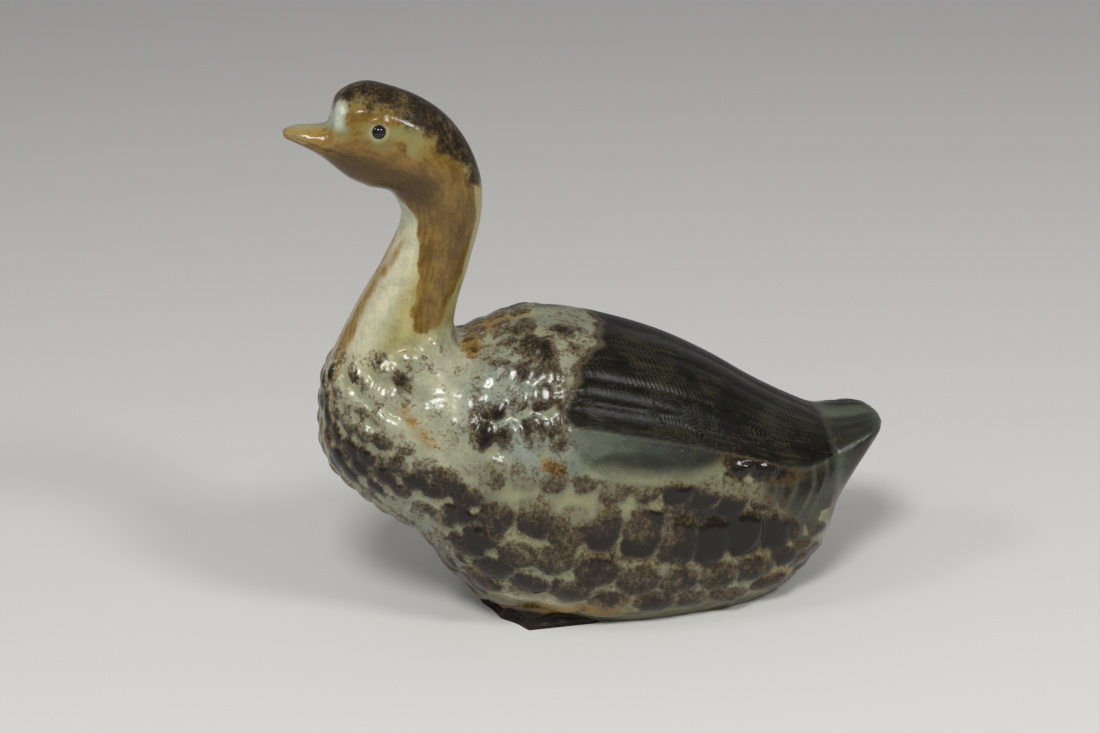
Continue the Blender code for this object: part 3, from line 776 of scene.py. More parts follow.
    def rims(self, at: Reading) -> tuple[np.ndarray, np.ndarray]:
        """Steps of the tail coverts, which end in pale rims across the rump.

        Args:
            at: The skin's reading.

        Returns:
            The height of the coverts, and the share of a rim, at each vertex.
        """
        loft = self.loft
        place = at.station - 13.0 * MM * np.minimum(((at.turn - 66.0) / 26.0) ** 2, 1.5)
        rims = [loft.at(*where) for where in self.arc_stations]
        height, line = np.zeros_like(place), np.zeros_like(place)
        for number, (front, rear) in enumerate(zip([rims[0] + 12.0 * MM] + rims[:-1], rims)):
            share = (front - place) / (front - rear)
            lowest = 132.0 if number == 0 else 94.0
            reach = rising(44.0, 58.0, at.turn) * (1.0 - rising(lowest - 14.0, lowest, at.turn))
            past = (rear - place) / (0.9 * MM)
            step = np.clip(share, 0.0, 1.0) ** 1.5 * (1.0 - rising(0.0, 1.0, past))
            height = np.maximum(height, reach * step)
            line = np.maximum(line, reach * np.exp(-((past + 0.8) / 1.3) ** 2))
        return height * self.arc_step, line

    def tail(self, at: Reading) -> np.ndarray:
        """Grooves of the tail fan.

        Args:
            at: The skin's reading.

        Returns:
            The height at each vertex.
        """
        loft = self.loft
        fan = 1.0 - loft.rise(("tail_mid", 0.0), ("tail_root", 0.4), at.station)
        top = 1.0 - rising(60.0, 80.0, at.turn)
        lane = at.turn / 70.0 * self.tail_grooves
        groove = (0.5 + 0.5 * np.cos(2.0 * math.pi * lane)) ** 2
        end = rising(0.0, 4.0 * MM, at.station)
        return -fan * top * groove * end * self.tail_groove_depth

    def leaves(self, at: Reading) -> tuple[np.ndarray, np.ndarray, np.ndarray, np.ndarray]:
        """Single pointed feathers on and below the wing.

        Args:
            at: The skin's reading.

        Returns:
            Their height, their share where one lies clear of the others, the iron on them,
            and the distance along and across them in two columns, at each vertex.
        """
        flat = at.places[:, [0, 2]]
        height, share, rival = (np.zeros(len(flat)) for _ in range(3))
        iron, lay = np.zeros(len(flat)), np.zeros((len(flat), 2))
        for leaf in LEAVES:
            start, end = np.array(leaf.start) * MM, np.array(leaf.end) * MM
            long = float(np.linalg.norm(end - start))
            axis = (end - start) / long
            along = (flat - start) @ axis
            across = (flat - start) @ np.array([-axis[1], axis[0]])
            a = 2.0 * along / long - 1.0
            width = leaf.half_width * MM * np.clip(1.0 - np.abs(a) ** 2.2, 0.0, 1.0) ** 0.8
            b = np.abs(across) / np.maximum(width, 0.05 * MM)
            dome = np.sqrt(np.clip(1.0 - b * b, 0.0, 1.0)) * (np.abs(a) < 1.0)
            raised = leaf.height * MM * dome**2 * (0.45 + 0.55 * np.clip(a, -1.0, 1.0))
            raised = np.maximum(raised, 0.45 * leaf.height * MM * dome**2)
            inside = rising(0.05, 1.0, dome) * (1.0 - 0.35 * np.clip(a, -1.0, 1.0) ** 2)
            height = np.maximum(height, raised)
            iron = np.maximum(iron, inside * leaf.dark)
            lay = np.where((inside > share)[:, None],
                           np.stack([along, np.abs(across)], axis=-1), lay)
            rival = np.maximum(rival, np.minimum(share, inside))
            share = np.maximum(share, inside)
        return height, share - rival, iron, lay

    def eye_place(self) -> np.ndarray:
        """Place of the near eye on the skin."""
        station = np.array([self.loft.at(*self.eye_station)])
        return self.loft.points(station, np.radians([self.eye_turn]))[0, 0]

    def mouth(self, at: Reading) -> np.ndarray:
        """Line of the mouth, from the jaw to the beak's tip.

        Args:
            at: The skin's reading.

        Returns:
            The share at each vertex.
        """
        start, end = self.loft.at("cheek", 0.9), self.loft.at("beak_tip")
        share = (at.station - start) / (end - start)
        away = np.radians(at.turn - 124.0 + 40.0 * share**3) * 8.0 * MM
        return np.exp(-(away / self.mouth_width) ** 2) * rising(0.0, 0.25, share)

    def face(self, at: Reading) -> np.ndarray:
        """Height of the eyelids, brows, mouth, neck crease and shoulder fold.

        Args:
            at: The skin's reading.

        Returns:
            The height at each vertex.
        """
        loft = self.loft
        from_eye = np.linalg.norm(at.places - self.eye_place(), axis=-1)
        lid = (from_eye - 0.57 * self.eye_diameter) / (1.0 * MM)
        lids = self.lid_height * np.exp(-lid**2)
        share = (at.station - loft.at("throat", 0.8)) / (
            loft.at("knob_top", 0.5) - loft.at("throat", 0.8))
        brow = self.brow_height * np.exp(-((at.turn - 56.0 - 6.0 * share) / 8.0) ** 2) \
            * rising(0.0, 0.3, share) * (1.0 - rising(0.7, 1.0, share))
        along = (at.station - loft.at("crop", 0.45)) / (3.0 * MM)
        crease = self.crease_depth * np.exp(-along**2) * rising(25.0, 50.0, at.turn) \
            * (1.0 - rising(95.0, 130.0, at.turn))
        return (lids + brow - self.mouth_depth * self.mouth(at) - crease
                + self.fold_height * dabs(Glaze.FOLD, at.places))

    def quills(self) -> bpy.types.Mesh:
        """Points where the scale feathers sit, with the way each one lies.

        Returns:
            A mesh of loose points with their directions and sizes.
        """
        loft, dice = self.loft, np.random.default_rng(self.seed)
        first, last, step = loft.at("crop", 0.35), loft.at("rump_end", 0.3), 1.0 * MM
        fine = np.arange(first, last, -step)
        held: dict[str, list[Any]] = {"place": [], "tailward": [], "across": [], "size": [],
                                      "rise": [], "tone": [], "shingle": []}
        turn = 0.5 * math.pi / self.rows
        for side in (1.0, -1.0):
            for row in range(self.rows):
                degrees = (row + 0.5) * 180.0 / self.rows
                line = loft.points(fine, np.array([math.radians(degrees)]))[:, 0]
                travelled = np.concatenate(
                    [[0.0], np.cumsum(np.linalg.norm(np.diff(line, axis=0), axis=1))])
                grown = np.clip((degrees - 54.0) / 50.0, 0.0, 1.0)
                distance = self.breast_pitch * (0.5 if row % 2 else 1.0)
                while distance < travelled[-1]:
                    station = float(np.interp(distance, travelled, fine))
                    flank = float(self.flank(np.array(station)))
                    pitch = self.breast_pitch + grown * flank * (
                        self.flank_pitch - self.breast_pitch)
                    behind = station < loft.at("haunch", 0.37)
                    pitch = self.rear_pitch if behind else pitch
                    shift = dice.uniform(-self.scatter, self.scatter, 2)
                    near = station + shift[0] * pitch + np.array([-step, 0.0, step])
                    patch = loft.points(near, math.radians(degrees) + turn * (
                        shift[1] * 2.0 + np.array([-1.0, 0.0, 1.0])))
                    tailward, across = patch[0, 1] - patch[2, 1], patch[1, 2] - patch[1, 0]
                    width = float(np.linalg.norm(across))
                    held["place"].append(patch[1, 1])
                    held["tailward"].append(tailward / np.linalg.norm(tailward))
                    held["across"].append(across / width)
                    grow = dice.uniform(0.9, 1.08)
                    held["size"].append((self.scale_length * pitch * grow,
                                         self.scale_width * width * grow, 0.0))
                    tallest = self.rear_height if behind else self.flank_height
                    height = self.breast_height + flank * (tallest - self.breast_height)
                    held["rise"].append(height * dice.uniform(0.8, 1.2))
                    held["tone"].append(dice.uniform(0.0, 1.0))
                    held["shingle"].append(flank)
                    distance += pitch
            if side > 0.0:
                half = len(held["place"])
        for name in ("place", "tailward", "across"):
            values = np.array(held[name])
            values[half:, 1] *= -1.0
            held[name] = values
        mesh = bpy.data.meshes.new("quills")
        mesh.from_pydata(held.pop("place").tolist(), [], [])
        for name, values in held.items():
            store(mesh, name, np.array(values))
        return mesh


@dataclass(frozen=True)
class FeatherCarver:
    """Geometry Nodes that read the guide and that carve the scale feathers into the skin.

    Attributes:
        feather_steps: The math of one feather: a name, an operation, and its numbers or names.
        foot_rounding: How often the places on the feet are blurred.
        tone_softening: How often the feathers' tones are blurred.
    """

    feather_steps: tuple[tuple[Any, ...], ...] = (
        # Place along and across the feather, as shares of its half length and half width
        ("u", "DIVIDE", "tailward", "long"), ("v", "DIVIDE", "across", "wide"),
        ("uu", "MULTIPLY", "u", "u"), ("vv", "MULTIPLY", "v", "v"),
        # A dome over the whole feather
        ("total", "ADD", "uu", "vv"), ("left", "SUBTRACT", 1.0, "total"),
        ("open", "MAXIMUM", "left", 0.0), ("dome", "SQRT", "open"),
        # The one for the glaze stays high where the next feather shingles over it
        ("ahead", "MINIMUM", "u", 0.0), ("ahead", "MULTIPLY", "ahead", "ahead"),
        ("hidden", "MULTIPLY", "ahead", "shingle"),
        ("crested", "MULTIPLY_ADD", "hidden", 0.8, "left"), ("crest", "SQRT", "crested"),
        # A shingled feather leans, so that its tip is the highest
        ("lean", "MULTIPLY_ADD", "u", 0.5, -0.2), ("ramp", "MULTIPLY_ADD", "lean", "shingle", 1.0),
        ("tall", "MULTIPLY", "ramp", "rise"), ("height", "MULTIPLY", "dome", "tall"),
        ("drop", "DIVIDE", "below", "wide"))
    foot_rounding: int = 34
    tone_softening: int = 4

    @staticmethod
    def new_tree(name: str, inputs: dict[str, str],
                 outputs: dict[str, str]) -> bpy.types.NodeTree:
        """Start a tree with named inputs and outputs.

        Args:
            name: The tree's name.
            inputs: Kind of each input.
            outputs: Kind of each output.

        Returns:
            The new tree.
        """
        tree = bpy.data.node_groups.new(name, "GeometryNodeTree")
        for way, sockets in (("INPUT", inputs), ("OUTPUT", outputs)):
            for label, kind in sockets.items():
                tree.interface.new_socket(label, in_out=way, socket_type=f"NodeSocket{kind}")
        return tree

    @staticmethod
    def at_point(tree: bpy.types.NodeTree, points: bpy.types.NodeSocket, name: str, kind: str,
                 number: bpy.types.NodeSocket) -> bpy.types.NodeSocket:
        """Value that one point of a mesh stores.

        Args:
            tree: Tree that takes the nodes.
            points: The points.
            name: Name of the attribute.
            kind: Its data type.
            number: Which point.

        Returns:
            The socket with the value.
        """
        held = add_node(tree, "GeometryNodeInputNamedAttribute", {"data_type": kind},
                        {"Name": name}).outputs["Attribute"]
        return add_node(tree, "GeometryNodeSampleIndex", {"data_type": kind, "domain": "POINT"},
                        {"Geometry": points, "Value": held, "Index": number}).outputs["Value"]

    def reading_tree(self) -> bpy.types.NodeTree:
        """Tree that gives each vertex its station and turn, read off the guide.

        Returns:
            The tree, with the guide as a named input.
        """
        tree = self.new_tree("read_guide", {"Skin": "Geometry", "Guide": "Object"},
                             {"Skin": "Geometry"})
        source = add_node(tree, "NodeGroupInput")
        guide = add_node(tree, "GeometryNodeObjectInfo", {"transform_space": "ORIGINAL"},
                         {"Object": source.outputs["Guide"]}).outputs["Geometry"]
        place = add_node(tree, "GeometryNodeInputPosition").outputs[0]
        away = add_node(tree, "GeometryNodeProximity", {"target_element": "FACES"},
                        {"Geometry": guide, "Sample Position": place}).outputs["Distance"]
        told = {"off_skin": away}
        for name in ("station", "turn"):
            held = add_node(tree, "GeometryNodeInputNamedAttribute", {"data_type": "FLOAT"},
                            {"Name": name}).outputs["Attribute"]
            told[name] = add_node(tree, "GeometryNodeSampleNearestSurface",
                                  {"data_type": "FLOAT"},
                                  {"Mesh": guide, "Value": held,
                                   "Sample Position": place}).outputs["Value"]
        skin = source.outputs["Skin"]
        for name, value in told.items():
            skin = add_node(tree, "GeometryNodeStoreNamedAttribute",
                            {"data_type": "FLOAT", "domain": "POINT"},
                            {"Geometry": skin, "Name": name,
                             "Value": value}).outputs["Geometry"]
        level = add_node(tree, "ShaderNodeSeparateXYZ", None, {0: place}).outputs[2]
        shares = [add_node(tree, "ShaderNodeMapRange", {"interpolation_type": "SMOOTHSTEP"},
                           {"Value": value, "From Min": low, "From Max": high}).outputs[0]
                  for value, low, high in ((away, 0.1 * MM, 1.2 * MM),
                                           (level, 0.0, 1.5 * MM))]
        share = add_node(tree, "ShaderNodeMath", {"operation": "MULTIPLY"},
                         {0: shares[0], 1: shares[1]}).outputs[0]
        rounded = add_node(tree, "GeometryNodeBlurAttribute", {"data_type": "FLOAT_VECTOR"},
                           {"Value": place, "Iterations": self.foot_rounding}).outputs["Value"]
        mixed = add_node(tree, "ShaderNodeMix", {"data_type": "VECTOR"},
                         {0: share, 4: place, 5: rounded}).outputs[1]
        skin = add_node(tree, "GeometryNodeSetPosition", None,
                        {"Geometry": skin, "Position": mixed}).outputs["Geometry"]
        add_node(tree, "NodeGroupOutput", None, {0: skin})
        return tree

    def feather_group(self) -> bpy.types.NodeTree:
        """Group that gives one feather's height and dome at each vertex.

        Returns:
            The group, with the feathers' points and the number of one of them as inputs.
        """
        tree = self.new_tree("one_feather", {"Quills": "Geometry", "Number": "Int"},
                             dict.fromkeys(("Rise", "Dome", "Tone", "Drop"), "Float"))
        source = add_node(tree, "NodeGroupInput")
        kinds = {"tailward": "FLOAT_VECTOR", "across": "FLOAT_VECTOR", "size": "FLOAT_VECTOR",
                 "position": "FLOAT_VECTOR", "rise": "FLOAT", "tone": "FLOAT",
                 "shingle": "FLOAT"}
        read = {name: self.at_point(tree, source.outputs["Quills"], name, kind,
                                    source.outputs["Number"])
                for name, kind in kinds.items()}
        place = add_node(tree, "GeometryNodeInputPosition").outputs[0]
        offset = add_node(tree, "ShaderNodeVectorMath", {"operation": "SUBTRACT"},
                          {0: place, 1: read["position"]}).outputs[0]
        size = add_node(tree, "ShaderNodeSeparateXYZ", None, {0: read["size"]})
        read["long"], read["wide"] = size.outputs[0], size.outputs[1]
        read["below"] = add_node(tree, "ShaderNodeSeparateXYZ", None, {0: offset}).outputs[2]
        for name in ("tailward", "across"):
            read[name] = add_node(tree, "ShaderNodeVectorMath", {"operation": "DOT_PRODUCT"},
                                  {0: offset, 1: read[name]}).outputs["Value"]
        for name, operation, *terms in self.feather_steps:
            values = {place: read.get(term, term) for place, term in enumerate(terms)}
            read[name] = add_node(tree, "ShaderNodeMath",
                                  {"operation": operation, "use_clamp": name == "crested"},
                                  values).outputs[0]
        add_node(tree, "NodeGroupOutput", None, {"Rise": read["height"], "Dome": read["crest"],
                                                 "Tone": read["tone"], "Drop": read["drop"]})
        return tree

    def carving_tree(self) -> bpy.types.NodeTree:
        """Tree that raises the form relief and the scale feathers along the skin's normals.

        Returns:
            The tree, with the points, the two materials and the smoothing as named inputs.
        """
        tree = self.new_tree("carve_feathers",
                             {"Skin": "Geometry", "Quills": "Object", "Glaze": "Material",
                              "Clay": "Material", "Glaze softening": "Int"},
                             {"Skin": "Geometry"})
        source = add_node(tree, "NodeGroupInput")
        quills = add_node(tree, "GeometryNodeObjectInfo", {"transform_space": "ORIGINAL"},
                          {"Object": source.outputs["Quills"]}).outputs["Geometry"]
        group = self.feather_group()
        place = add_node(tree, "GeometryNodeInputPosition").outputs[0]
        first = add_node(tree, "GeometryNodeSampleNearest", {"domain": "POINT"},
                         {"Geometry": quills, "Sample Position": place}).outputs["Index"]
        lie = {name: self.at_point(tree, quills, name, "FLOAT_VECTOR", first)
               for name in ("tailward", "size")}
        length = add_node(tree, "ShaderNodeSeparateXYZ", None, {0: lie["size"]}).outputs[0]
        back = add_node(tree, "ShaderNodeVectorMath", {"operation": "SCALE"},
                        {0: lie["tailward"], "Scale": length}).outputs[0]
        ahead = add_node(tree, "ShaderNodeVectorMath", {"operation": "SUBTRACT"},
                         {0: place, 1: back}).outputs[0]
        second = add_node(tree, "GeometryNodeSampleNearest", {"domain": "POINT"},
                          {"Geometry": quills, "Sample Position": ahead}).outputs["Index"]
        feathers = [add_node(tree, "GeometryNodeGroup", {"node_tree": group},
                             {"Quills": quills, "Number": number})
                    for number in (first, second)]
        ahead_wins = add_node(tree, "FunctionNodeCompare",
                              {"data_type": "FLOAT", "operation": "GREATER_THAN"},
                              {0: feathers[1].outputs["Rise"],
                               1: feathers[0].outputs["Rise"]}).outputs[0]
        chosen = {name: add_node(tree, "GeometryNodeSwitch", {"input_type": "FLOAT"},
                                 {"Switch": ahead_wins, "False": feathers[0].outputs[name],
                                  "True": feathers[1].outputs[name]}).outputs[0]
                  for name in ("Rise", "Dome", "Tone", "Drop")}
        masks = {name: add_node(tree, "GeometryNodeInputNamedAttribute",
                                {"data_type": "FLOAT"}, {"Name": name}).outputs["Attribute"]
                 for name in ("scaled", "form")}
        height = add_node(tree, "ShaderNodeMath", {"operation": "MULTIPLY_ADD"},
                          {0: chosen["Rise"], 1: masks["scaled"],
                           2: masks["form"]}).outputs[0]
        soft = add_node(tree, "GeometryNodeBlurAttribute", {"data_type": "FLOAT"},
                        {"Value": height,
                         "Iterations": source.outputs["Glaze softening"]}).outputs["Value"]
        normal = add_node(tree, "GeometryNodeInputNormal").outputs[0]
        moved = add_node(tree, "ShaderNodeVectorMath", {"operation": "SCALE"},
                         {0: normal, "Scale": soft}).outputs[0]
        skin = source.outputs["Skin"]
        for name, output, times in (("crest", "Dome", 1), ("tone", "Tone", self.tone_softening),
                                    ("drop", "Drop", self.tone_softening)):
            value = add_node(tree, "GeometryNodeBlurAttribute", {"data_type": "FLOAT"},
                             {"Value": chosen[output], "Iterations": times}).outputs["Value"]
            skin = add_node(tree, "GeometryNodeStoreNamedAttribute",
                            {"data_type": "FLOAT", "domain": "POINT"},
                            {"Geometry": skin, "Name": name,
                             "Value": value}).outputs["Geometry"]
        skin = add_node(tree, "GeometryNodeSetPosition", None,
                        {"Geometry": skin, "Offset": moved}).outputs["Geometry"]
        skin = add_node(tree, "GeometryNodeRealizeInstances", None,
                        {"Geometry": skin}).outputs["Geometry"]
        skin = add_node(tree, "GeometryNodeSetMaterial", None,
                        {"Geometry": skin,
                         "Material": source.outputs["Glaze"]}).outputs["Geometry"]
        bare = add_node(tree, "GeometryNodeInputNamedAttribute", {"data_type": "BOOLEAN"},
                        {"Name": "bare"}).outputs["Attribute"]
        skin = add_node(tree, "GeometryNodeSetMaterial", None,
                        {"Geometry": skin, "Selection": bare,
                         "Material": source.outputs["Clay"]}).outputs["Geometry"]
        add_node(tree, "NodeGroupOutput", None, {0: skin})
        return tree

    def run(self, piece: bpy.types.Object, tree: bpy.types.NodeTree,
            inputs: dict[str, Any]) -> None:
        """Run a tree on a piece and keep the plain mesh that comes out.

        Args:
            piece: Object whose mesh goes in and is replaced.
            tree: The tree.
            inputs: Values of its named inputs.
        """
        step = piece.modifiers.new(tree.name, "NODES")
        step.node_group = tree
        for item in tree.interface.items_tree:
            if item.in_out == "INPUT" and item.name in inputs:
                step[item.identifier] = inputs[item.name]
        made = baked(piece)
        piece.modifiers.remove(step)
        old, piece.data = piece.data, made
        bpy.data.meshes.remove(old)


@dataclass
class GlazeMap:
    """Where each glaze lies, as numbers that the glaze material reads.

    Attributes:
        plumage: The carved plumage that the glaze follows.
        cream: Yellow-green cream glaze of the neck.
        throat: Pale cream glaze down the neck's front.
        celadon: Pale green-grey glaze of the breast.
        cool: Blue-green glaze of the shoulder, also laid on the low flank, where it is partly a
            painted reflection of the floor.
        flank: Darker green-grey glaze of the flank.
        wing: Black-olive glaze of the wings.
        cover: Grey-green glaze below the wings.
        tail: Green glaze of the tail.
        under_tail_glaze_and_shade: Dark olive glaze under the tail, darkened there as painted
            shade.
        cheek: Tan glaze of the face.
        beak: Ochre glaze of the beak.
        forehead: White-green glaze of the knob above the beak, partly a painted reflection.
        hem: Grey-green glaze near the base.
        rim: Pale yellow-green glaze along the edge of the layer below the wing.
        foot: Black-brown glaze of the feet.
        breast_iron: Iron oxide brushed on the breast, before the strokes.
        flank_iron: The same on the flank.
        back_iron: The same on the back, in front of the wings.
        low_iron: The same low on the flank.
        layer_iron: The same on the layer below the wing.
        crown_iron: The same on the crown.
        jaw_iron: Share of the iron strokes that shows on the jaw and the neck; under the chin it is
            partly painted shade.
        crown_edge: Lower edge of the dark cap, as sections, shares and degrees.
        rust_edges: Edges of the rust patch, as sections, shares, upper and lower degrees.
        rust_soft: Degrees over which the rust patch fades.
    """

    plumage: Plumage
    cream: str = "#a99f6a"
    throat: str = "#c6c3a6"
    celadon: str = "#9a9b82"
    cool: str = "#8b9992"
    flank: str = "#7f7e64"
    wing: str = "#120e05"
    cover: str = "#63695a"
    tail: str = "#565d4a"
    under_tail_glaze_and_shade: str = "#25231b"
    cheek: str = "#827b4b"
    beak: str = "#978a58"
    forehead: str = "#b9bfae"
    hem: str = "#625b45"
    rim: str = "#9c9c78"
    foot: str = "#241a14"
    breast_iron: float = 0.22
    flank_iron: float = 0.25
    back_iron: float = 0.32
    low_iron: float = 0.50
    layer_iron: float = 0.06
    crown_iron: float = 0.66
    jaw_iron: float = 0.35
    crown_edge: tuple[tuple[str, float, float], ...] = (
        ("high_neck", 0.2, 8.0), ("throat", 0.2, 46.0), ("throat", 0.75, 60.0),
        ("cheek", 0.15, 56.0), ("cheek", 0.8, 56.0), ("brow", 0.4, 50.0),
        ("knob_top", 0.7, 16.0))
    rust_edges: tuple[tuple[str, float, float, float], ...] = (
        ("crop", 0.6, 47.0, 76.0), ("low_neck", 0.2, 38.0, 112.0),
        ("high_neck", 0.2, 38.0, 138.0), ("throat", 0.2, 44.0, 158.0),
        ("cheek", 0.1, 58.0, 150.0))
    rust_soft: float = 7.0

    def crown(self, at: Reading) -> np.ndarray:
        """Dark cap of the head, from the forehead to the nape.

        Args:
            at: The skin's reading.

        Returns:
            The share at each vertex.
        """
        loft = self.plumage.loft
        stations = [loft.at(name, share) for name, share, _ in self.crown_edge]
        edge = np.interp(at.station, stations, [degrees for *_, degrees in self.crown_edge])
        rough = wavy(at.station, (4.0, 2.9 * MM), (2.5, 1.3 * MM))
        return rising(18.0, -16.0, at.turn - edge + rough) * rising(
            stations[0], stations[1], at.station) * loft.rise(
            ("beak_root", 0.0), ("knob_top", 0.5), at.station)

    def rust(self, at: Reading) -> np.ndarray:
        """Rust-brown patch on each side of the neck.

        Args:
            at: The skin's reading.

        Returns:
            The share at each vertex.
        """
        loft = self.plumage.loft
        stations = [loft.at(name, share) for name, share, *_ in self.rust_edges]
        upper = np.interp(at.station, stations, [edge[2] for edge in self.rust_edges])
        lower = np.interp(at.station, stations, [edge[3] for edge in self.rust_edges])
        rough = wavy(at.station, (2.5, 5.3 * MM), (1.5, 1.7 * MM))
        soft = self.rust_soft
        return (rising(-soft, soft, at.turn - upper + 0.5 * rough)
                * rising(soft, -soft, at.turn - lower + rough)
                * loft.rise(("crop", 0.45), ("crop", 0.80), at.station)
                * loft.rise(("cheek", 0.5), ("throat", 0.45), at.station))

    def ground(self, at: Reading, foot: np.ndarray) -> np.ndarray:
        """Colour of the glaze below the brushed ones, with painted shade in the wing's grooves and
        under the tail, and painted reflection on the knob and the low flank.

        Args:
            at: The skin's reading.
            foot: Share of the feet.

        Returns:
            Linear colours, one row a vertex.
        """
        plumage, loft = self.plumage, self.plumage.loft
        station, turn, level = at.station, at.turn, at.places[:, 2]
        wing, layer = plumage.wing_mask(at, True), plumage.layer_mask(at)
        dark = plumage.leaves(at)[2]
        neck = loft.rise(("upper_breast", 0.7), ("crop", 0.7), station)
        front = rising(100.0, 128.0, turn) * loft.rise(("full_breast", 0.5), ("crop", 0.6), station)
        head = loft.rise(("throat", 0.1), ("throat", 0.7), station)
        beak = loft.rise(("brow", 0.2), ("beak_mid", 0.1), station)
        # The front of the knob is painted pale: partly its white-green glaze, partly a painted
        # reflection of the light
        knob = rising(-81.0 * MM, -86.0 * MM, at.places[:, 0]) * rising(
            182.5 * MM, 186.5 * MM, level) * rising(197.0 * MM, 191.0 * MM, level)
        eye = np.linalg.norm(at.places - plumage.eye_place(), axis=-1)
        ring = between(2.2 * MM, 3.4 * MM, 0.8 * MM, eye)
        flank = (1.0 - plumage.flank_fade(station)) * rising(50.0, 80.0, turn)
        rump = loft.rise(("haunch", 0.75), ("haunch", 0.2), station)
        coverts = rump * rising(50.0, 60.0, turn) * rising(90.0, 70.0, turn)
        below = rump * rising(62.0, 76.0, turn) * rising(118.0, 102.0, turn)
        tail = loft.rise(("rump_end", 0.1), ("tail_root", 0.3), station)
        streak = tail * rising(1.0 * MM, 16.0 * MM, station) * between(8.0, 66.0, 16.0, turn)
        # The tail's underside is painted dark: partly dark olive glaze, partly painted shade
        under = rising(66.0, 86.0, turn) * loft.rise(("rump_end", 0.3), ("tail_mid", 0.0), station)
        lower_rim = layer * rising(-7.0, -1.0, turn - plumage.layer_turn(station))
        aft = layer * loft.rise(("belly", 0.9), ("loin", 0.6), station)
        _, share = plumage.lanes(at)
        # Painted shade: the colour darkens in the grooves between the long wing feathers
        groove = np.exp(-(np.minimum(share, 1.0 - share) / 0.10) ** 2)
        made = np.tile(np.array(linear(self.celadon)), (len(station), 1))
        for colour, share in (
                (self.flank, flank), (self.hem, 0.85 * rising(34.0 * MM, 12.0 * MM, level)),
                (self.cool, dabs(Glaze.COOL, at.places)),
                (self.cream, neck), (self.throat, 0.9 * front), (self.cheek, 0.85 * head),
                (self.beak, beak), (self.forehead, knob), (self.throat, 0.3 * ring),
                (self.throat, 0.75 * dabs(Glaze.CREAM, at.places)),
                (self.cover, layer), (self.wing, 0.8 * aft),
                (self.wing, layer * dark), (self.rim, 0.55 * lower_rim),
                (self.cover, below), (self.under_tail_glaze_and_shade, 0.7 * below), (self.wing, 0.9 * coverts),
                (self.tail, tail), (self.wing, 0.85 * streak), (self.wing, wing),
                (self.under_tail_glaze_and_shade, under), (self.foot, foot)):
            made += share[:, None] * (np.array(linear(colour)) - made)
        # Painted shade in the grooves between the long wing feathers
        return made * (1.0 - 0.7 * wing * groove)[:, None]

    def paint(self, mesh: bpy.types.Mesh, at: Reading) -> None:
        """Store the glaze's attributes on the skin.

        Args:
            mesh: The skin.
            at: The skin's reading.
        """
        plumage, loft = self.plumage, self.plumage.loft
        station, turn, level = at.station, at.turn, at.places[:, 2]
        wing, layer = plumage.wing_mask(at, True), plumage.layer_mask(at)
        _, leaf, _, leaf_lay = plumage.leaves(at)
        _, rim = plumage.rims(at)
        neck = loft.rise(("crop", 0.2), ("neck_foot", 0.1), station)
        tail = loft.rise(("tail_root", 0.6), ("tail_mid", 0.4), station)
        foot = rising(0.4 * MM, 1.0 * MM, at.off_skin) * rising(7.0 * MM, 5.5 * MM, level)
        foot = np.maximum(foot, rising(3.0 * MM, 1.6 * MM, level) * rising(
            -16.0 * MM, -26.0 * MM, at.places[:, 0]))
        rump = loft.rise(("haunch", 0.75), ("haunch", 0.2), station) * (1.0 - tail)
        breast = loft.rise(("keel", 0.0), ("full_breast", 0.0), station) * (1.0 - neck)
        flank = (1.0 - breast) * (1.0 - neck) * (1.0 - wing) * (1.0 - layer) * (1.0 - tail)
        back = rising(66.0, 40.0, turn) * flank
        low = rising(78.0, 92.0, turn) * flank * rising(1.0 * MM, 9.0 * MM, level)
        hem = rising(15.0 * MM, 9.0 * MM, level)
        iron = self.breast_iron * breast + self.flank_iron * flank
        iron = iron * (1.0 - 0.3 * between(58.0, 88.0, 14.0, turn) * flank)
        iron = np.maximum(iron, np.maximum(self.back_iron * back, self.low_iron * low))
        iron = iron * (1.0 - rump * between(48.0, 98.0, 10.0, turn))
        front = rising(10.0 * MM, -6.0 * MM, at.places[:, 0])
        iron = iron * (1.0 - (0.1 + 0.7 * front) * hem)
        brushed = dabs(Glaze.IRON, at.places)
        iron = 1.0 - (1.0 - iron) * (1.0 - brushed)
        iron = np.maximum(iron, self.layer_iron * layer)
        iron = iron * (1.0 - 0.8 * dabs(Glaze.CREAM, at.places))
        iron = iron * (1.0 - 0.75 * dabs(Glaze.PALE, at.places))
        _, share = plumage.lanes(at)
        gone = plumage.wing_front(turn) - station
        broken = rising(9.0 * MM, 3.0 * MM, np.abs(gone)) * wing * (1.0 - wing)
        iron = np.maximum(iron * (1.0 - wing), 2.2 * broken) * (1.0 - neck)
        # Iron strokes on the neck and head, and the mouth line, darken the jaw: partly iron glaze,
        # partly painted shade under the chin
        neck_iron_and_shade = np.maximum(brushed * neck, 0.6 * plumage.mouth(at))
        iron = np.maximum(iron, np.maximum(self.crown_iron * self.crown(at),
                                           self.jaw_iron * neck_iron_and_shade))
        half_width = loft.frames(np.clip(station, 0.0, loft.stations[-1]))[:, 4]
        slant = (share - 0.2) * half_width * math.radians(12.0)
        around = np.radians(turn) * half_width
        winged = (wing > 0.5) & (leaf < 0.5)
        lay = np.stack([np.where(winged, gone, -station),
                        np.where(winged, np.abs(slant), around)], axis=-1)
        lay = np.where((leaf > 0.02)[:, None], leaf_lay, lay)
        vane = np.clip(wing + 0.7 * layer * leaf + tail * rising(90.0, 70.0, turn)
                       + rump * between(50.0, 80.0, 8.0, turn), 0.0, 1.0)
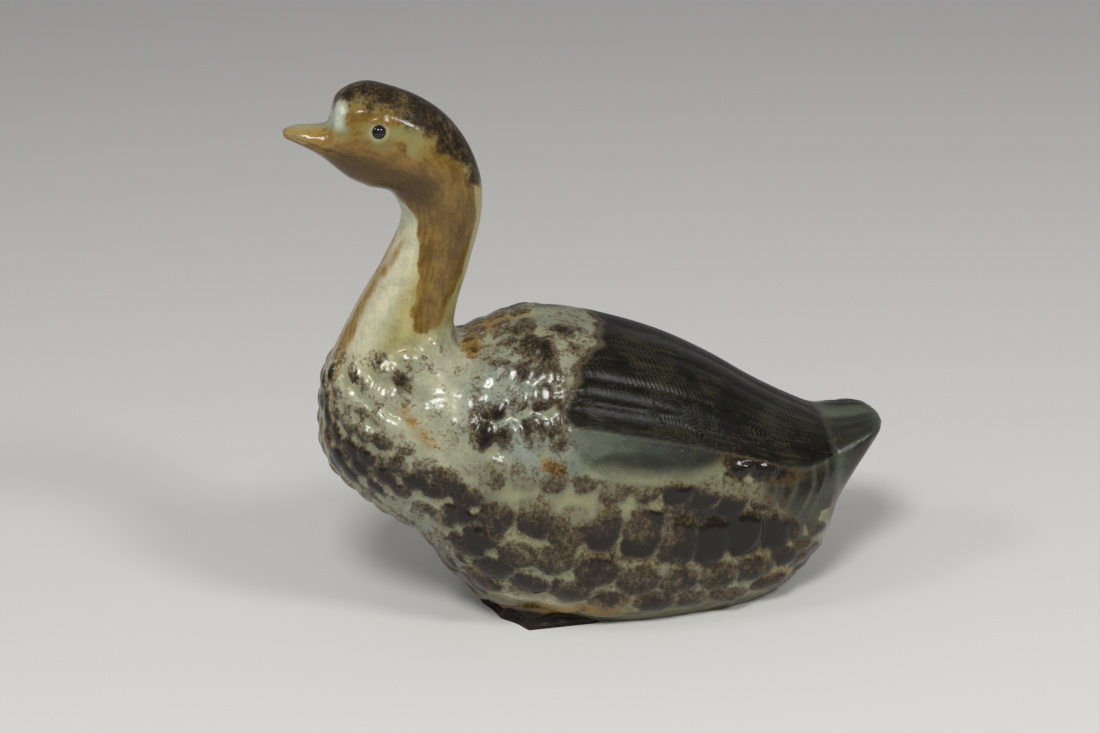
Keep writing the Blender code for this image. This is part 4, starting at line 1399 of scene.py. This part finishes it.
        # Rust over 1 under the chin and jaw takes the darkest tint: partly rust glaze, partly
        # painted shade
        rust = np.maximum(dabs(Glaze.RUST, at.places), self.rust(at)) + neck_iron_and_shade
        bare = (1.0 - foot) * (1.0 - wing)
        lay = np.column_stack([lay, np.zeros(len(lay))])
        for name, values in (
                ("ground", self.ground(at, foot)), ("iron", iron * (1.0 - foot)),
                ("rim", rim * (1.0 - wing)), ("ochre", dabs(Glaze.OCHRE, at.places) * bare),
                ("rust", rust), ("vane", vane), ("wing", np.maximum(wing, foot)),
                ("cool", dabs(Glaze.COOL, at.places)), ("lay", lay)):
            store(mesh, name, values)


@dataclass(frozen=True)
class StonewareGlaze:
    """Reduction-fired feldspar glaze over stoneware: a thick glassy coat, pale green where it
    pools in the carving, with iron oxide brushed on that breaks into brown and black specks.

    Attributes:
        pool: Colour where the glaze pools in grooves.
        cool: Tint of the blue-green clouds in the glaze.
        barb: Colour of the glaze on the barbs of the long feathers.
        iron: Colours of iron oxide where it is thin, thicker and thickest.
        iron_rises: Amounts of iron at which each of them starts and is full, and its share.
        ochre: Colour of the thin and the thick ochre wash.
        rust: Colour of the thin and the thick rust wash, and of the darkest under the chin, which
            is partly painted shade.
        speck_size: Size of the iron specks.
        mottle_size: Size of the clouds in the glaze.
        barb_pitch: Distance between the barbs of a wing feather.
        streak: Length and width of the brush streaks.
        roughness: Roughness of the glassy surface.
        mirror: How much the smooth glaze mirrors, and how much the barbs of the wing do.
    """

    pool: str = "#96966f"
    cool: str = "#c3d2cf"
    barb: str = "#413d2a"
    iron: tuple[str, str, str] = ("#5b4726", "#332514", "#110c07")
    iron_rises: tuple[tuple[float, float, float], ...] = (
        (0.20, 0.58, 0.75), (0.36, 0.82, 0.85), (0.54, 1.05, 0.92))
    ochre: tuple[str, str] = ("#9c7b3c", "#765722")
    rust: tuple[str, str, str] = ("#866625", "#5b4216", "#35220a")
    speck_size: float = 1.4 * MM
    mottle_size: float = 5.0 * MM
    barb_pitch: float = 1.8 * MM
    streak: tuple[float, float] = (9.0 * MM, 1.2 * MM)
    roughness: float = 0.18
    mirror: tuple[float, float] = (0.5, 0.26)

    def material(self) -> bpy.types.Material:
        """Build the glaze.

        Returns:
            The material.
        """
        made = bpy.data.materials.new("iron_speckled_celadon_glaze")
        made.use_nodes = True
        tree = made.node_tree
        surface = tree.nodes["Principled BSDF"]
        surface.inputs["IOR"].default_value = 1.46
        place = add_node(tree, "ShaderNodeTexCoord").outputs["Object"]
        held = {name: add_node(tree, "ShaderNodeAttribute",
                               {"attribute_name": name}).outputs["Fac"]
                for name in ("iron", "ochre", "rust", "vane", "wing", "rim", "crest", "tone",
                             "drop", "scaled", "cool")}
        ground = add_node(tree, "ShaderNodeAttribute",
                          {"attribute_name": "ground"}).outputs["Color"]
        lay = add_node(tree, "ShaderNodeAttribute", {"attribute_name": "lay"}).outputs["Vector"]
        along = add_node(tree, "ShaderNodeVectorMath", {"operation": "MULTIPLY"},
                         {0: lay, 1: (1.0 / self.streak[0], 1.0 / self.streak[1], 0.0)})
        noise = {name: add_node(tree, "ShaderNodeTexNoise", None,
                                {"Vector": place, "Scale": 1.0 / size, "Detail": detail,
                                 "Roughness": 0.55}).outputs[0]
                 for name, size, detail in (("fine", 0.5 * self.speck_size, 1.0),
                                            ("speck", self.speck_size, 2.0),
                                            ("mottle", self.mottle_size, 3.0),
                                            ("dot", 1.1 * self.speck_size, 0.0),
                                            ("cloud", 3.5 * self.mottle_size, 3.0))}
        noise["streak"] = add_node(tree, "ShaderNodeTexNoise", None,
                                   {"Vector": along.outputs[0], "Scale": 1.0, "Detail": 2.0,
                                    "Roughness": 0.5}).outputs[0]
        ragged = self._sum(tree, [(noise["fine"], 0.3), (noise["speck"], 1.3),
                                  (noise["mottle"], 1.7)], -1.65)

        # The ground glaze, clouded, and pooled in the grooves between scale feathers
        clouded = self._sum(tree, [(noise["mottle"], 0.8), (noise["speck"], 0.4),
                                   (noise["streak"], 0.3)], 0.25)
        colour = add_node(tree, "ShaderNodeVectorMath", {"operation": "SCALE"},
                          {0: ground, "Scale": clouded}).outputs[0]
        clouds = self._share(tree, noise["cloud"], 0.48, 0.68, 0.5)
        colour = add_node(tree, "ShaderNodeMix", {"data_type": "RGBA", "blend_type": "MULTIPLY"},
                          {0: clouds, 6: colour, 7: linear(self.cool)}).outputs[2]
        hollow = self._share(tree, held["crest"], 0.60, 0.20, 0.9, held["scaled"])
        rimmed = self._sum(tree, [(held["rim"], 0.22), (hollow, 1.0)], 0.0)
        fading = self._sum(tree, [(noise["mottle"], 1.6)], -0.05)
        pooled = add_node(tree, "ShaderNodeMath", {"operation": "MULTIPLY", "use_clamp": True},
                          {0: rimmed, 1: fading}).outputs[0]
        layers = [(self.pool, pooled)]

        # Barbs of the long feathers, as fine light and dark lines
        parts = add_node(tree, "ShaderNodeSeparateXYZ", None, {0: lay})
        phase = 2.0 * math.pi / self.barb_pitch
        wander = self._sum(tree, [(parts.outputs[0], phase), (parts.outputs[1], -phase),
                                  (noise["mottle"], 6.0)], 0.0)
        wave = add_node(tree, "ShaderNodeMath", {"operation": "SINE"}, {0: wander}).outputs[0]
        patchy = self._share(tree, noise["cloud"], 0.40, 0.62, 1.0, held["vane"])
        barbs = add_node(tree, "ShaderNodeMath", {"operation": "MULTIPLY"},
                         {0: wave, 1: patchy}).outputs[0]
        smear = self._sum(tree, [(noise["streak"], 1.0), (noise["cloud"], 0.7)], -0.35)
        layers += [(self.barb, self._share(tree, barbs, 0.0, 1.0, 0.45)),
                   (self.barb, self._share(tree, smear, 0.50, 0.72, 0.45, held["wing"]))]

        # Ochre and rust washes, streaked by the brush
        for name, tints in (("ochre", self.ochre), ("rust", self.rust)):
            amount = self._sum(tree, [(held[name], 1.0), (ragged, 0.3),
                                      (noise["streak"], 0.5)], -0.25)
            depth = self._sum(tree, [(noise["mottle"], 1.2), (noise["streak"], 1.0),
                                     (noise["speck"], 0.5), (held[name], 0.5)], -0.6)
            thick = self._share(tree, amount, 0.4, 0.7, 1.0)
            layers += [(tints[0], self._share(tree, amount, 0.24, 0.66, 0.9)),
                       (tints[1], self._share(tree, depth, 0.80, 1.60, 0.9, thick))]
        # Darkest brown where the rust goes over 1, under the chin: partly rust glaze, partly
        # painted shade
        layers.append((self.rust[2], self._share(tree, held["rust"], 1.05, 1.6, 0.65)))

        # Iron oxide, thin in the grooves between scale feathers; the colour is also darker low on
        # each feather
        bulge = add_node(tree, "ShaderNodeMath", {"operation": "MULTIPLY", "use_clamp": True},
                         {0: held["crest"], 1: held["crest"]}).outputs[0]
        domed = self._share(tree, bulge, 0.06, 0.56, 1.0, held["scaled"])
        lowered = self._sum(tree, [(held["tone"], 0.32), (held["drop"], -0.16)], 0.36)
        crested = add_node(tree, "ShaderNodeMath", {"operation": "MULTIPLY"},
                           {0: lowered, 1: domed}).outputs[0]
        iron = self._sum(tree, [(held["iron"], 1.2), (crested, 1.0), (held["scaled"], -0.32),
                                (ragged, 0.6)], 0.0)
        layers += [(shade, self._share(tree, iron, *rise))
                   for shade, rise in zip(self.iron, self.iron_rises)]
        dots = self._share(tree, noise["dot"], 0.62, 0.70, 0.7, held["cool"])
        layers.append((self.iron[1], dots))
        for shade, share in layers:
            colour = add_node(tree, "ShaderNodeMix", {"data_type": "RGBA"},
                              {0: share, 6: colour, 7: linear(shade)}).outputs[2]
        tree.links.new(colour, surface.inputs["Base Color"])

        # The glassy surface is a little uneven, and ridged where the barbs are carved
        rough = self._sum(tree, [(noise["mottle"], 0.16), (held["wing"], 0.16)],
                          self.roughness - 0.06)
        tree.links.new(rough, surface.inputs["Roughness"])
        # The barbs of the long feathers break up what they mirror, so less of it shows
        mirrored = add_node(tree, "ShaderNodeMapRange", None,
                            {"Value": held["wing"], "To Min": self.mirror[0],
                             "To Max": self.mirror[1]}).outputs[0]
        tree.links.new(mirrored, surface.inputs["Specular IOR Level"])
        relief = self._sum(tree, [(barbs, 0.18), (noise["speck"], 0.35),
                                  (noise["mottle"], 0.6)], 0.0)
        bump = add_node(tree, "ShaderNodeBump", None,
                        {"Strength": 0.5, "Distance": 0.35 * MM, "Height": relief})
        tree.links.new(bump.outputs[0], surface.inputs["Normal"])
        return made

    @staticmethod
    def _share(tree: bpy.types.NodeTree, value: bpy.types.NodeSocket, low: float, high: float,
               most: float, mask: Any = 1.0) -> bpy.types.NodeSocket:
        """Share that rises smoothly with a value, where a mask lets it.

        Args:
            tree: The material's tree.
            value: Socket to read.
            low: Value at which the share is 0.
            high: Value at which it is greatest.
            most: The greatest share.
            mask: Socket or number that the share is multiplied by.

        Returns:
            The socket with the share.
        """
        risen = add_node(tree, "ShaderNodeMapRange", {"interpolation_type": "SMOOTHSTEP"},
                         {"Value": value, "From Min": low, "From Max": high, "To Min": 0.0,
                          "To Max": most}).outputs[0]
        return add_node(tree, "ShaderNodeMath", {"operation": "MULTIPLY", "use_clamp": True},
                        {0: risen, 1: mask}).outputs[0]

    @staticmethod
    def _sum(tree: bpy.types.NodeTree, parts: list[tuple[bpy.types.NodeSocket, float]],
             start: float) -> bpy.types.NodeSocket:
        """Weighted sum of sockets.

        Args:
            tree: The material's tree.
            parts: Sockets with their weights.
            start: Number to start from.

        Returns:
            The socket with the sum.
        """
        total: Any = start
        for socket, weight in parts:
            total = add_node(tree, "ShaderNodeMath", {"operation": "MULTIPLY_ADD"},
                             {0: socket, 1: weight, 2: total}).outputs[0]
        return total


@dataclass(frozen=True)
class Flecked:
    """A plain finish with flecks of a second colour.

    Attributes:
        name: The material's name.
        colour: Its colour.
        fleck: Colour of the flecks.
        size: Size of a fleck.
        detail: Detail of their noise.
        spread: Values of the noise at which a fleck starts and is full.
        roughness: Roughness of the surface.
        ior: Index of refraction.
        grain: Strength of the grain that the flecks raise.
    """

    name: str
    colour: str
    fleck: str
    size: float
    detail: float
    spread: tuple[float, float]
    roughness: float
    ior: float
    grain: float

    def material(self) -> bpy.types.Material:
        """Build the finish.

        Returns:
            The material.
        """
        made = bpy.data.materials.new(self.name)
        made.use_nodes = True
        tree = made.node_tree
        surface = tree.nodes["Principled BSDF"]
        surface.inputs["Roughness"].default_value = self.roughness
        surface.inputs["IOR"].default_value = self.ior
        place = add_node(tree, "ShaderNodeTexCoord").outputs["Object"]
        noise = add_node(tree, "ShaderNodeTexNoise", None,
                         {"Vector": place, "Scale": 1.0 / self.size, "Detail": self.detail})
        share = add_node(tree, "ShaderNodeMapRange", None,
                         {"Value": noise.outputs[0], "From Min": self.spread[0],
                          "From Max": self.spread[1]})
        colour = add_node(tree, "ShaderNodeMix", {"data_type": "RGBA"},
                          {0: share.outputs[0], 6: linear(self.colour),
                           7: linear(self.fleck)})
        tree.links.new(colour.outputs[2], surface.inputs["Base Color"])
        if self.grain > 0.0:
            bump = add_node(tree, "ShaderNodeBump", None,
                            {"Strength": self.grain, "Distance": 0.2 * MM,
                             "Height": noise.outputs[0]})
            tree.links.new(bump.outputs[0], surface.inputs["Normal"])
        return made


# Unglazed fired stoneware on the base: a matt, gritty buff clay
BARE_STONEWARE = Flecked("unglazed_buff_stoneware", "#8f7a60", "#5a4735", 0.8 * MM, 3.0,
                         (0.45, 0.65), 0.85, 1.5, 0.4)
# Thick iron-black glaze on the eyes: a wet-looking bead that mirrors the lights
BEAD_GLAZE = Flecked("iron_black_bead_glaze", "#0d0b0a", "#2a1a10", 1.5 * MM, 2.0,
                     (0.5, 0.8), 0.06, 1.52, 0.0)


@dataclass
class Body:
    """The bird's cast body with its webbed feet, on a flat base with a vent.

    Attributes:
        plumage: The carving on its skin.
        voxel: Edge length of the skin's faces.
        foot_height: Thickness of the slab of the feet.
        toes: Tips of the left toes.
        webs: Webs between the left toes.
        heel: Left side of the slab, from front to rear.
        inner: Where the two feet meet.
        vent_diameter: Diameter of the vent in the base.
        vent_x: Its place.
        vent_depth: How far the vent is open.
        vent_sides: Sides of the vent's ring.
        head_level: Height above which the head gets a finer mesh.
        guide_step: Distance between the rings of the guide.
        guide_around: Points of the guide around the bird.
    """

    plumage: Plumage
    voxel: float = 1.06 * MM   # keeps the piece under 200,000 triangles
    foot_height: float = 6.0
    toes: tuple[tuple[float, float], ...] = ((-33.2, -33.0), (-41.6, -21.4), (-46.9, -6.8))
    webs: tuple[tuple[float, float], ...] = ((-36.6, -26.8), (-43.6, -13.8))
    heel: tuple[tuple[float, float], ...] = ((-8.0, -33.2), (-8.0, -18.0))
    inner: tuple[float, float] = (-46.6, 0.0)
    vent_diameter: float = 16.0 * MM
    vent_x: float = 4.0 * MM
    vent_depth: float = 30.0 * MM
    vent_sides: int = 32
    head_level: float = 158.0 * MM
    guide_step: float = 0.9 * MM
    guide_around: int = 240

    def core(self, guide: bpy.types.Mesh) -> bpy.types.Mesh:
        """Fuse the smooth skin and the slab of the feet into one even mesh.

        Args:
            guide: The smooth skin.

        Returns:
            The fused mesh, which still reaches below the ground.
        """
        mesh = guide.copy()
        work = bmesh.new()
        work.from_mesh(mesh)
        left = [self.heel[1], self.heel[0], self.toes[0]]
        for web, toe in zip(self.webs, self.toes[1:]):
            left += [web, toe]
        outline = left + [self.inner] + [(x, -y) for x, y in reversed(left)]
        base = work.faces.new([work.verts.new((x * MM, y * MM, -self.foot_height * MM))
                               for x, y in outline])
        raised = bmesh.ops.extrude_face_region(work, geom=[base])["geom"]
        lifted = [item for item in raised if isinstance(item, bmesh.types.BMVert)]
        bmesh.ops.translate(work, vec=(0.0, 0.0, 2.0 * self.foot_height * MM), verts=lifted)
        work.to_mesh(mesh)
        work.free()
        face_out(mesh)
        piece = add_piece("core", mesh)
        fused = piece.modifiers.new("fuse", "REMESH")
        fused.mode = "VOXEL"
        fused.voxel_size = self.voxel
        fused.use_smooth_shade = True
        made = baked(piece)
        bpy.data.objects.remove(piece)
        return made

    def cut_base(self, mesh: bpy.types.Mesh) -> None:
        """Cut the mesh flat at the ground, refine the head, and open the vent.

        Args:
            mesh: The fused mesh.
        """
        work = bmesh.new()
        work.from_mesh(mesh)
        bare = work.faces.layers.bool.new("bare")
        whole = list(work.verts) + list(work.edges) + list(work.faces)
        cut = bmesh.ops.bisect_plane(work, geom=whole, dist=0.01 * MM, plane_co=(0, 0, 0),
                                     plane_no=(0, 0, 1), clear_inner=True)["geom_cut"]
        rim = [item for item in cut if isinstance(item, bmesh.types.BMEdge)]
        sides = self.vent_sides
        ring = [work.verts.new((self.vent_x + 0.5 * self.vent_diameter * math.cos(turn),
                                0.5 * self.vent_diameter * math.sin(turn), 0.0))
                for turn in np.linspace(0.0, 2.0 * math.pi, sides, endpoint=False)]
        hole = [work.edges.new((ring[i], ring[(i + 1) % sides])) for i in range(sides)]
        made = bmesh.ops.triangle_fill(work, edges=rim + hole, use_beauty=True,
                                       normal=(0.0, 0.0, -1.0))["geom"]
        base = [item for item in made if isinstance(item, bmesh.types.BMFace)]
        up = [work.verts.new(vert.co + Vector((0.0, 0.0, self.vent_depth))) for vert in ring]
        wall = [work.faces.new((ring[i], ring[(i + 1) % sides], up[(i + 1) % sides], up[i]))
                for i in range(sides)]
        top = work.faces.new(up)
        bmesh.ops.recalc_face_normals(work, faces=work.faces)
        for face in work.faces:
            face.smooth = True
        for face in base + wall + [top]:
            face[bare] = True
            face.smooth = False
        head = [edge for edge in work.edges
                if min(vert.co.z for vert in edge.verts) > self.head_level]
        bmesh.ops.subdivide_edges(work, edges=head, cuts=1, use_grid_fill=True,
                                  smooth=1.0)
        bmesh.ops.triangulate(work, faces=work.faces)
        work.to_mesh(mesh)
        work.free()

    def read(self, mesh: bpy.types.Mesh) -> Reading:
        """Read where the vertices lie on the bird.

        Args:
            mesh: Skin with the attributes station, turn and off_skin.

        Returns:
            The reading.
        """
        places = read_values(mesh, "position", 3)
        places[:, 1] = -np.abs(places[:, 1])
        return Reading(places, read_values(mesh, "station"), read_values(mesh, "turn"),
                       read_values(mesh, "off_skin"))

    def build(self, glaze: bpy.types.Material, clay: bpy.types.Material,
              map_: GlazeMap) -> bpy.types.Object:
        """Build, carve and glaze the body.

        Args:
            glaze: The glaze.
            clay: The bare clay of the base.
            map_: Where the glazes lie.

        Returns:
            The finished piece.
        """
        smooth = self.plumage.loft.guide(self.guide_step, self.guide_around)
        guide = add_piece("guide", smooth)
        quills = add_piece("quills", self.plumage.quills())
        mesh = self.core(guide.data)
        self.cut_base(mesh)
        piece = add_piece("carved_body", mesh)
        carver = FeatherCarver()
        carver.run(piece, carver.reading_tree(), {"Guide": guide})
        at = self.read(piece.data)
        plumage = self.plumage
        lifted = rising(0.2 * MM, 2.5 * MM, at.places[:, 2])
        form = plumage.wing(at) + plumage.rims(at)[0] + plumage.tail(at) \
            + plumage.leaves(at)[0] + plumage.face(at)
        ends = rising(0.0, 3.0 * MM, at.station) * rising(
            plumage.loft.stations[-1], plumage.loft.stations[-1] - 3.0 * MM, at.station)
        store(piece.data, "form", form * lifted * ends)
        store(piece.data, "scaled", plumage.scale_mask(at) * lifted)
        map_.paint(piece.data, at)
        carver.run(piece, carver.carving_tree(),
                   {"Quills": quills, "Glaze": glaze, "Clay": clay, "Glaze softening": 1})
        for name in ("station", "turn", "off_skin", "form"):
            piece.data.attributes.remove(piece.data.attributes[name])
        for helper in (guide, quills):
            bpy.data.objects.remove(helper)
        piece.data.name = piece.name
        return piece


@dataclass
class BeadEyes:
    """The two raised eyes.

    Attributes:
        plumage: The head that carries them.
        proud: How far a bead stands out of the skin.
        fullness: Radius of a bead, as a share of the eye's diameter.
    """

    plumage: Plumage
    proud: float = 1.5 * MM
    fullness: float = 0.42

    def build(self, glaze: bpy.types.Material) -> bpy.types.Object:
        """Build both beads.

        Args:
            glaze: Their glaze.

        Returns:
            The finished piece.
        """
        loft, turn = self.plumage.loft, math.radians(4.0)
        station = loft.at(*self.plumage.eye_station) + np.array([-1.0, 0.0, 1.0]) * MM
        patch = loft.points(station, math.radians(self.plumage.eye_turn)
                            + np.array([-turn, 0.0, turn]))
        outward = np.cross(patch[2, 1] - patch[0, 1], patch[1, 2] - patch[1, 0])
        outward = outward / np.linalg.norm(outward) * (1.0 if outward[1] < 0.0 else -1.0)
        radius = self.fullness * self.plumage.eye_diameter
        near = Vector(patch[1, 1] - outward * (radius - self.proud))
        mesh = bpy.data.meshes.new("bead_eyes")
        work = bmesh.new()
        for centre in (near, Vector((near.x, -near.y, near.z))):
            ball = bmesh.ops.create_icosphere(work, subdivisions=4, radius=radius)
            bmesh.ops.translate(work, vec=centre, verts=ball["verts"])
        for face in work.faces:
            face.smooth = True
        work.to_mesh(mesh)
        work.free()
        mesh.materials.append(glaze)
        return add_piece("bead_eyes", mesh)


@dataclass
class Studio:
    """The floor, the lights and the camera.

    Attributes:
        azimuth: Degrees of the camera round the bird.
        elevation: Degrees of the camera above the floor.
        roll: Degrees that the camera leans.
        distance: Its distance from what it looks at.
        aim: What it looks at.
        lens: Focal length in millimetres, for a sensor 36 mm wide.
        floor: Colour of the floor.
        floor_reach: How far the floor goes each way.
        lamp_distance: Distance of each lamp.
        lamp_aim: Height that the lamps shine at.
        lamps: Name, azimuth, elevation, width and watts of each lamp.
        room_light: Strength of the light from all round.
    """

    azimuth: float = -8.0
    elevation: float = 22.0
    roll: float = 2.6
    distance: float = 929.0 * MM
    aim: tuple[float, float, float] = (-16.566 * MM, 0.0, 87.164 * MM)
    lens: float = 36.0 * 2600.0 / 1100.0
    floor: str = "#e4e3df"
    floor_reach: float = 8.0
    lamp_distance: float = 1.3
    lamp_aim: float = 80.0 * MM
    lamps: tuple[tuple[str, float, float, float, float], ...] = (
        ("window", -20.0, 50.0, 0.32, 8.0), ("second_window", 40.0, 42.0, 0.26, 5.0),
        ("front_window", -82.0, 45.0, 0.25, 2.0))
    room_light: float = 0.22

    @staticmethod
    def bearing(azimuth: float, elevation: float) -> Vector:
        """Unit vector from the bird to a place round it, from degrees."""
        a, e = math.radians(azimuth), math.radians(elevation)
        return Vector((math.sin(a) * math.cos(e), -math.cos(a) * math.cos(e), math.sin(e)))

    def camera(self) -> None:
        """Stand the camera where the photograph was taken."""
        back = self.bearing(self.azimuth, self.elevation)
        right = (-back).cross(Vector((0.0, 0.0, 1.0))).normalized()
        up = right.cross(-back)
        lean = math.radians(self.roll)
        leaning = math.cos(lean) * right - math.sin(lean) * up
        upward = math.sin(lean) * right + math.cos(lean) * up
        data = bpy.data.cameras.new("camera")
        data.lens, data.sensor_width = self.lens, 36.0
        data.clip_start, data.clip_end = 0.05, 20.0
        stand = add_piece("camera", data)
        turned = Matrix((leaning, upward, back)).transposed().to_4x4()
        stand.matrix_world = Matrix.Translation(Vector(self.aim) + self.distance * back) @ turned
        bpy.context.scene.camera = stand

    def lamp(self, name: str, azimuth: float, elevation: float, size: float,
             power: float) -> None:
        """Add a soft lamp that shines on the bird.

        Args:
            name: The lamp's name.
            azimuth: Degrees round the bird.
            elevation: Degrees above the floor.
            size: Width of the lamp.
            power: Its power in watts.
        """
        data = bpy.data.lights.new(name, "AREA")
        data.size, data.energy = size, power
        lamp = add_piece(name, data)
        toward = self.bearing(azimuth, elevation)
        lamp.location = Vector((0.0, 0.0, self.lamp_aim)) + self.lamp_distance * toward
        lamp.rotation_mode = "QUATERNION"
        lamp.rotation_quaternion = toward.to_track_quat("Z", "Y")

    def ground(self) -> None:
        """Lay the floor."""
        mesh = bpy.data.meshes.new("floor")
        far = self.floor_reach
        mesh.from_pydata([(-far, -far, 0.0), (far, -far, 0.0), (far, far, 0.0),
                          (-far, far, 0.0)], [], [(0, 1, 2, 3)])
        made = bpy.data.materials.new("matt_paper_floor")
        made.use_nodes = True
        surface = made.node_tree.nodes["Principled BSDF"]
        surface.inputs["Base Color"].default_value = linear(self.floor)
        surface.inputs["Roughness"].default_value = 0.9
        mesh.materials.append(made)
        add_piece("floor", mesh)

    def build(self) -> None:
        """Set up the floor, lights and camera."""
        self.ground()
        for lamp in self.lamps:
            self.lamp(*lamp)
        world = bpy.data.worlds.new("room")
        world.use_nodes = True
        sky = world.node_tree.nodes["Background"]
        sky.inputs["Color"].default_value = (1.0, 1.0, 1.0, 1.0)
        sky.inputs["Strength"].default_value = self.room_light
        bpy.context.scene.world = world
        bpy.context.scene.view_settings.view_transform = "Standard"
        self.camera()


def main() -> None:
    """Build the figurine and the studio round it."""
    logging.basicConfig(level=logging.INFO, format="%(name)s: %(message)s")
    plumage = Plumage(SkinLoft(SECTIONS))
    body = Body(plumage).build(StonewareGlaze().material(), BARE_STONEWARE.material(),
                               GlazeMap(plumage))
    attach(body, "root")
    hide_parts("duck_body")
    log.info("%s: %d faces", body.name, len(body.data.polygons))
    eyes = BeadEyes(plumage).build(BEAD_GLAZE.material())
    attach(eyes, "root")
    log.info("%s: %d faces", eyes.name, len(eyes.data.polygons))
    Studio().build()


if __name__ == "__main__":
    main()
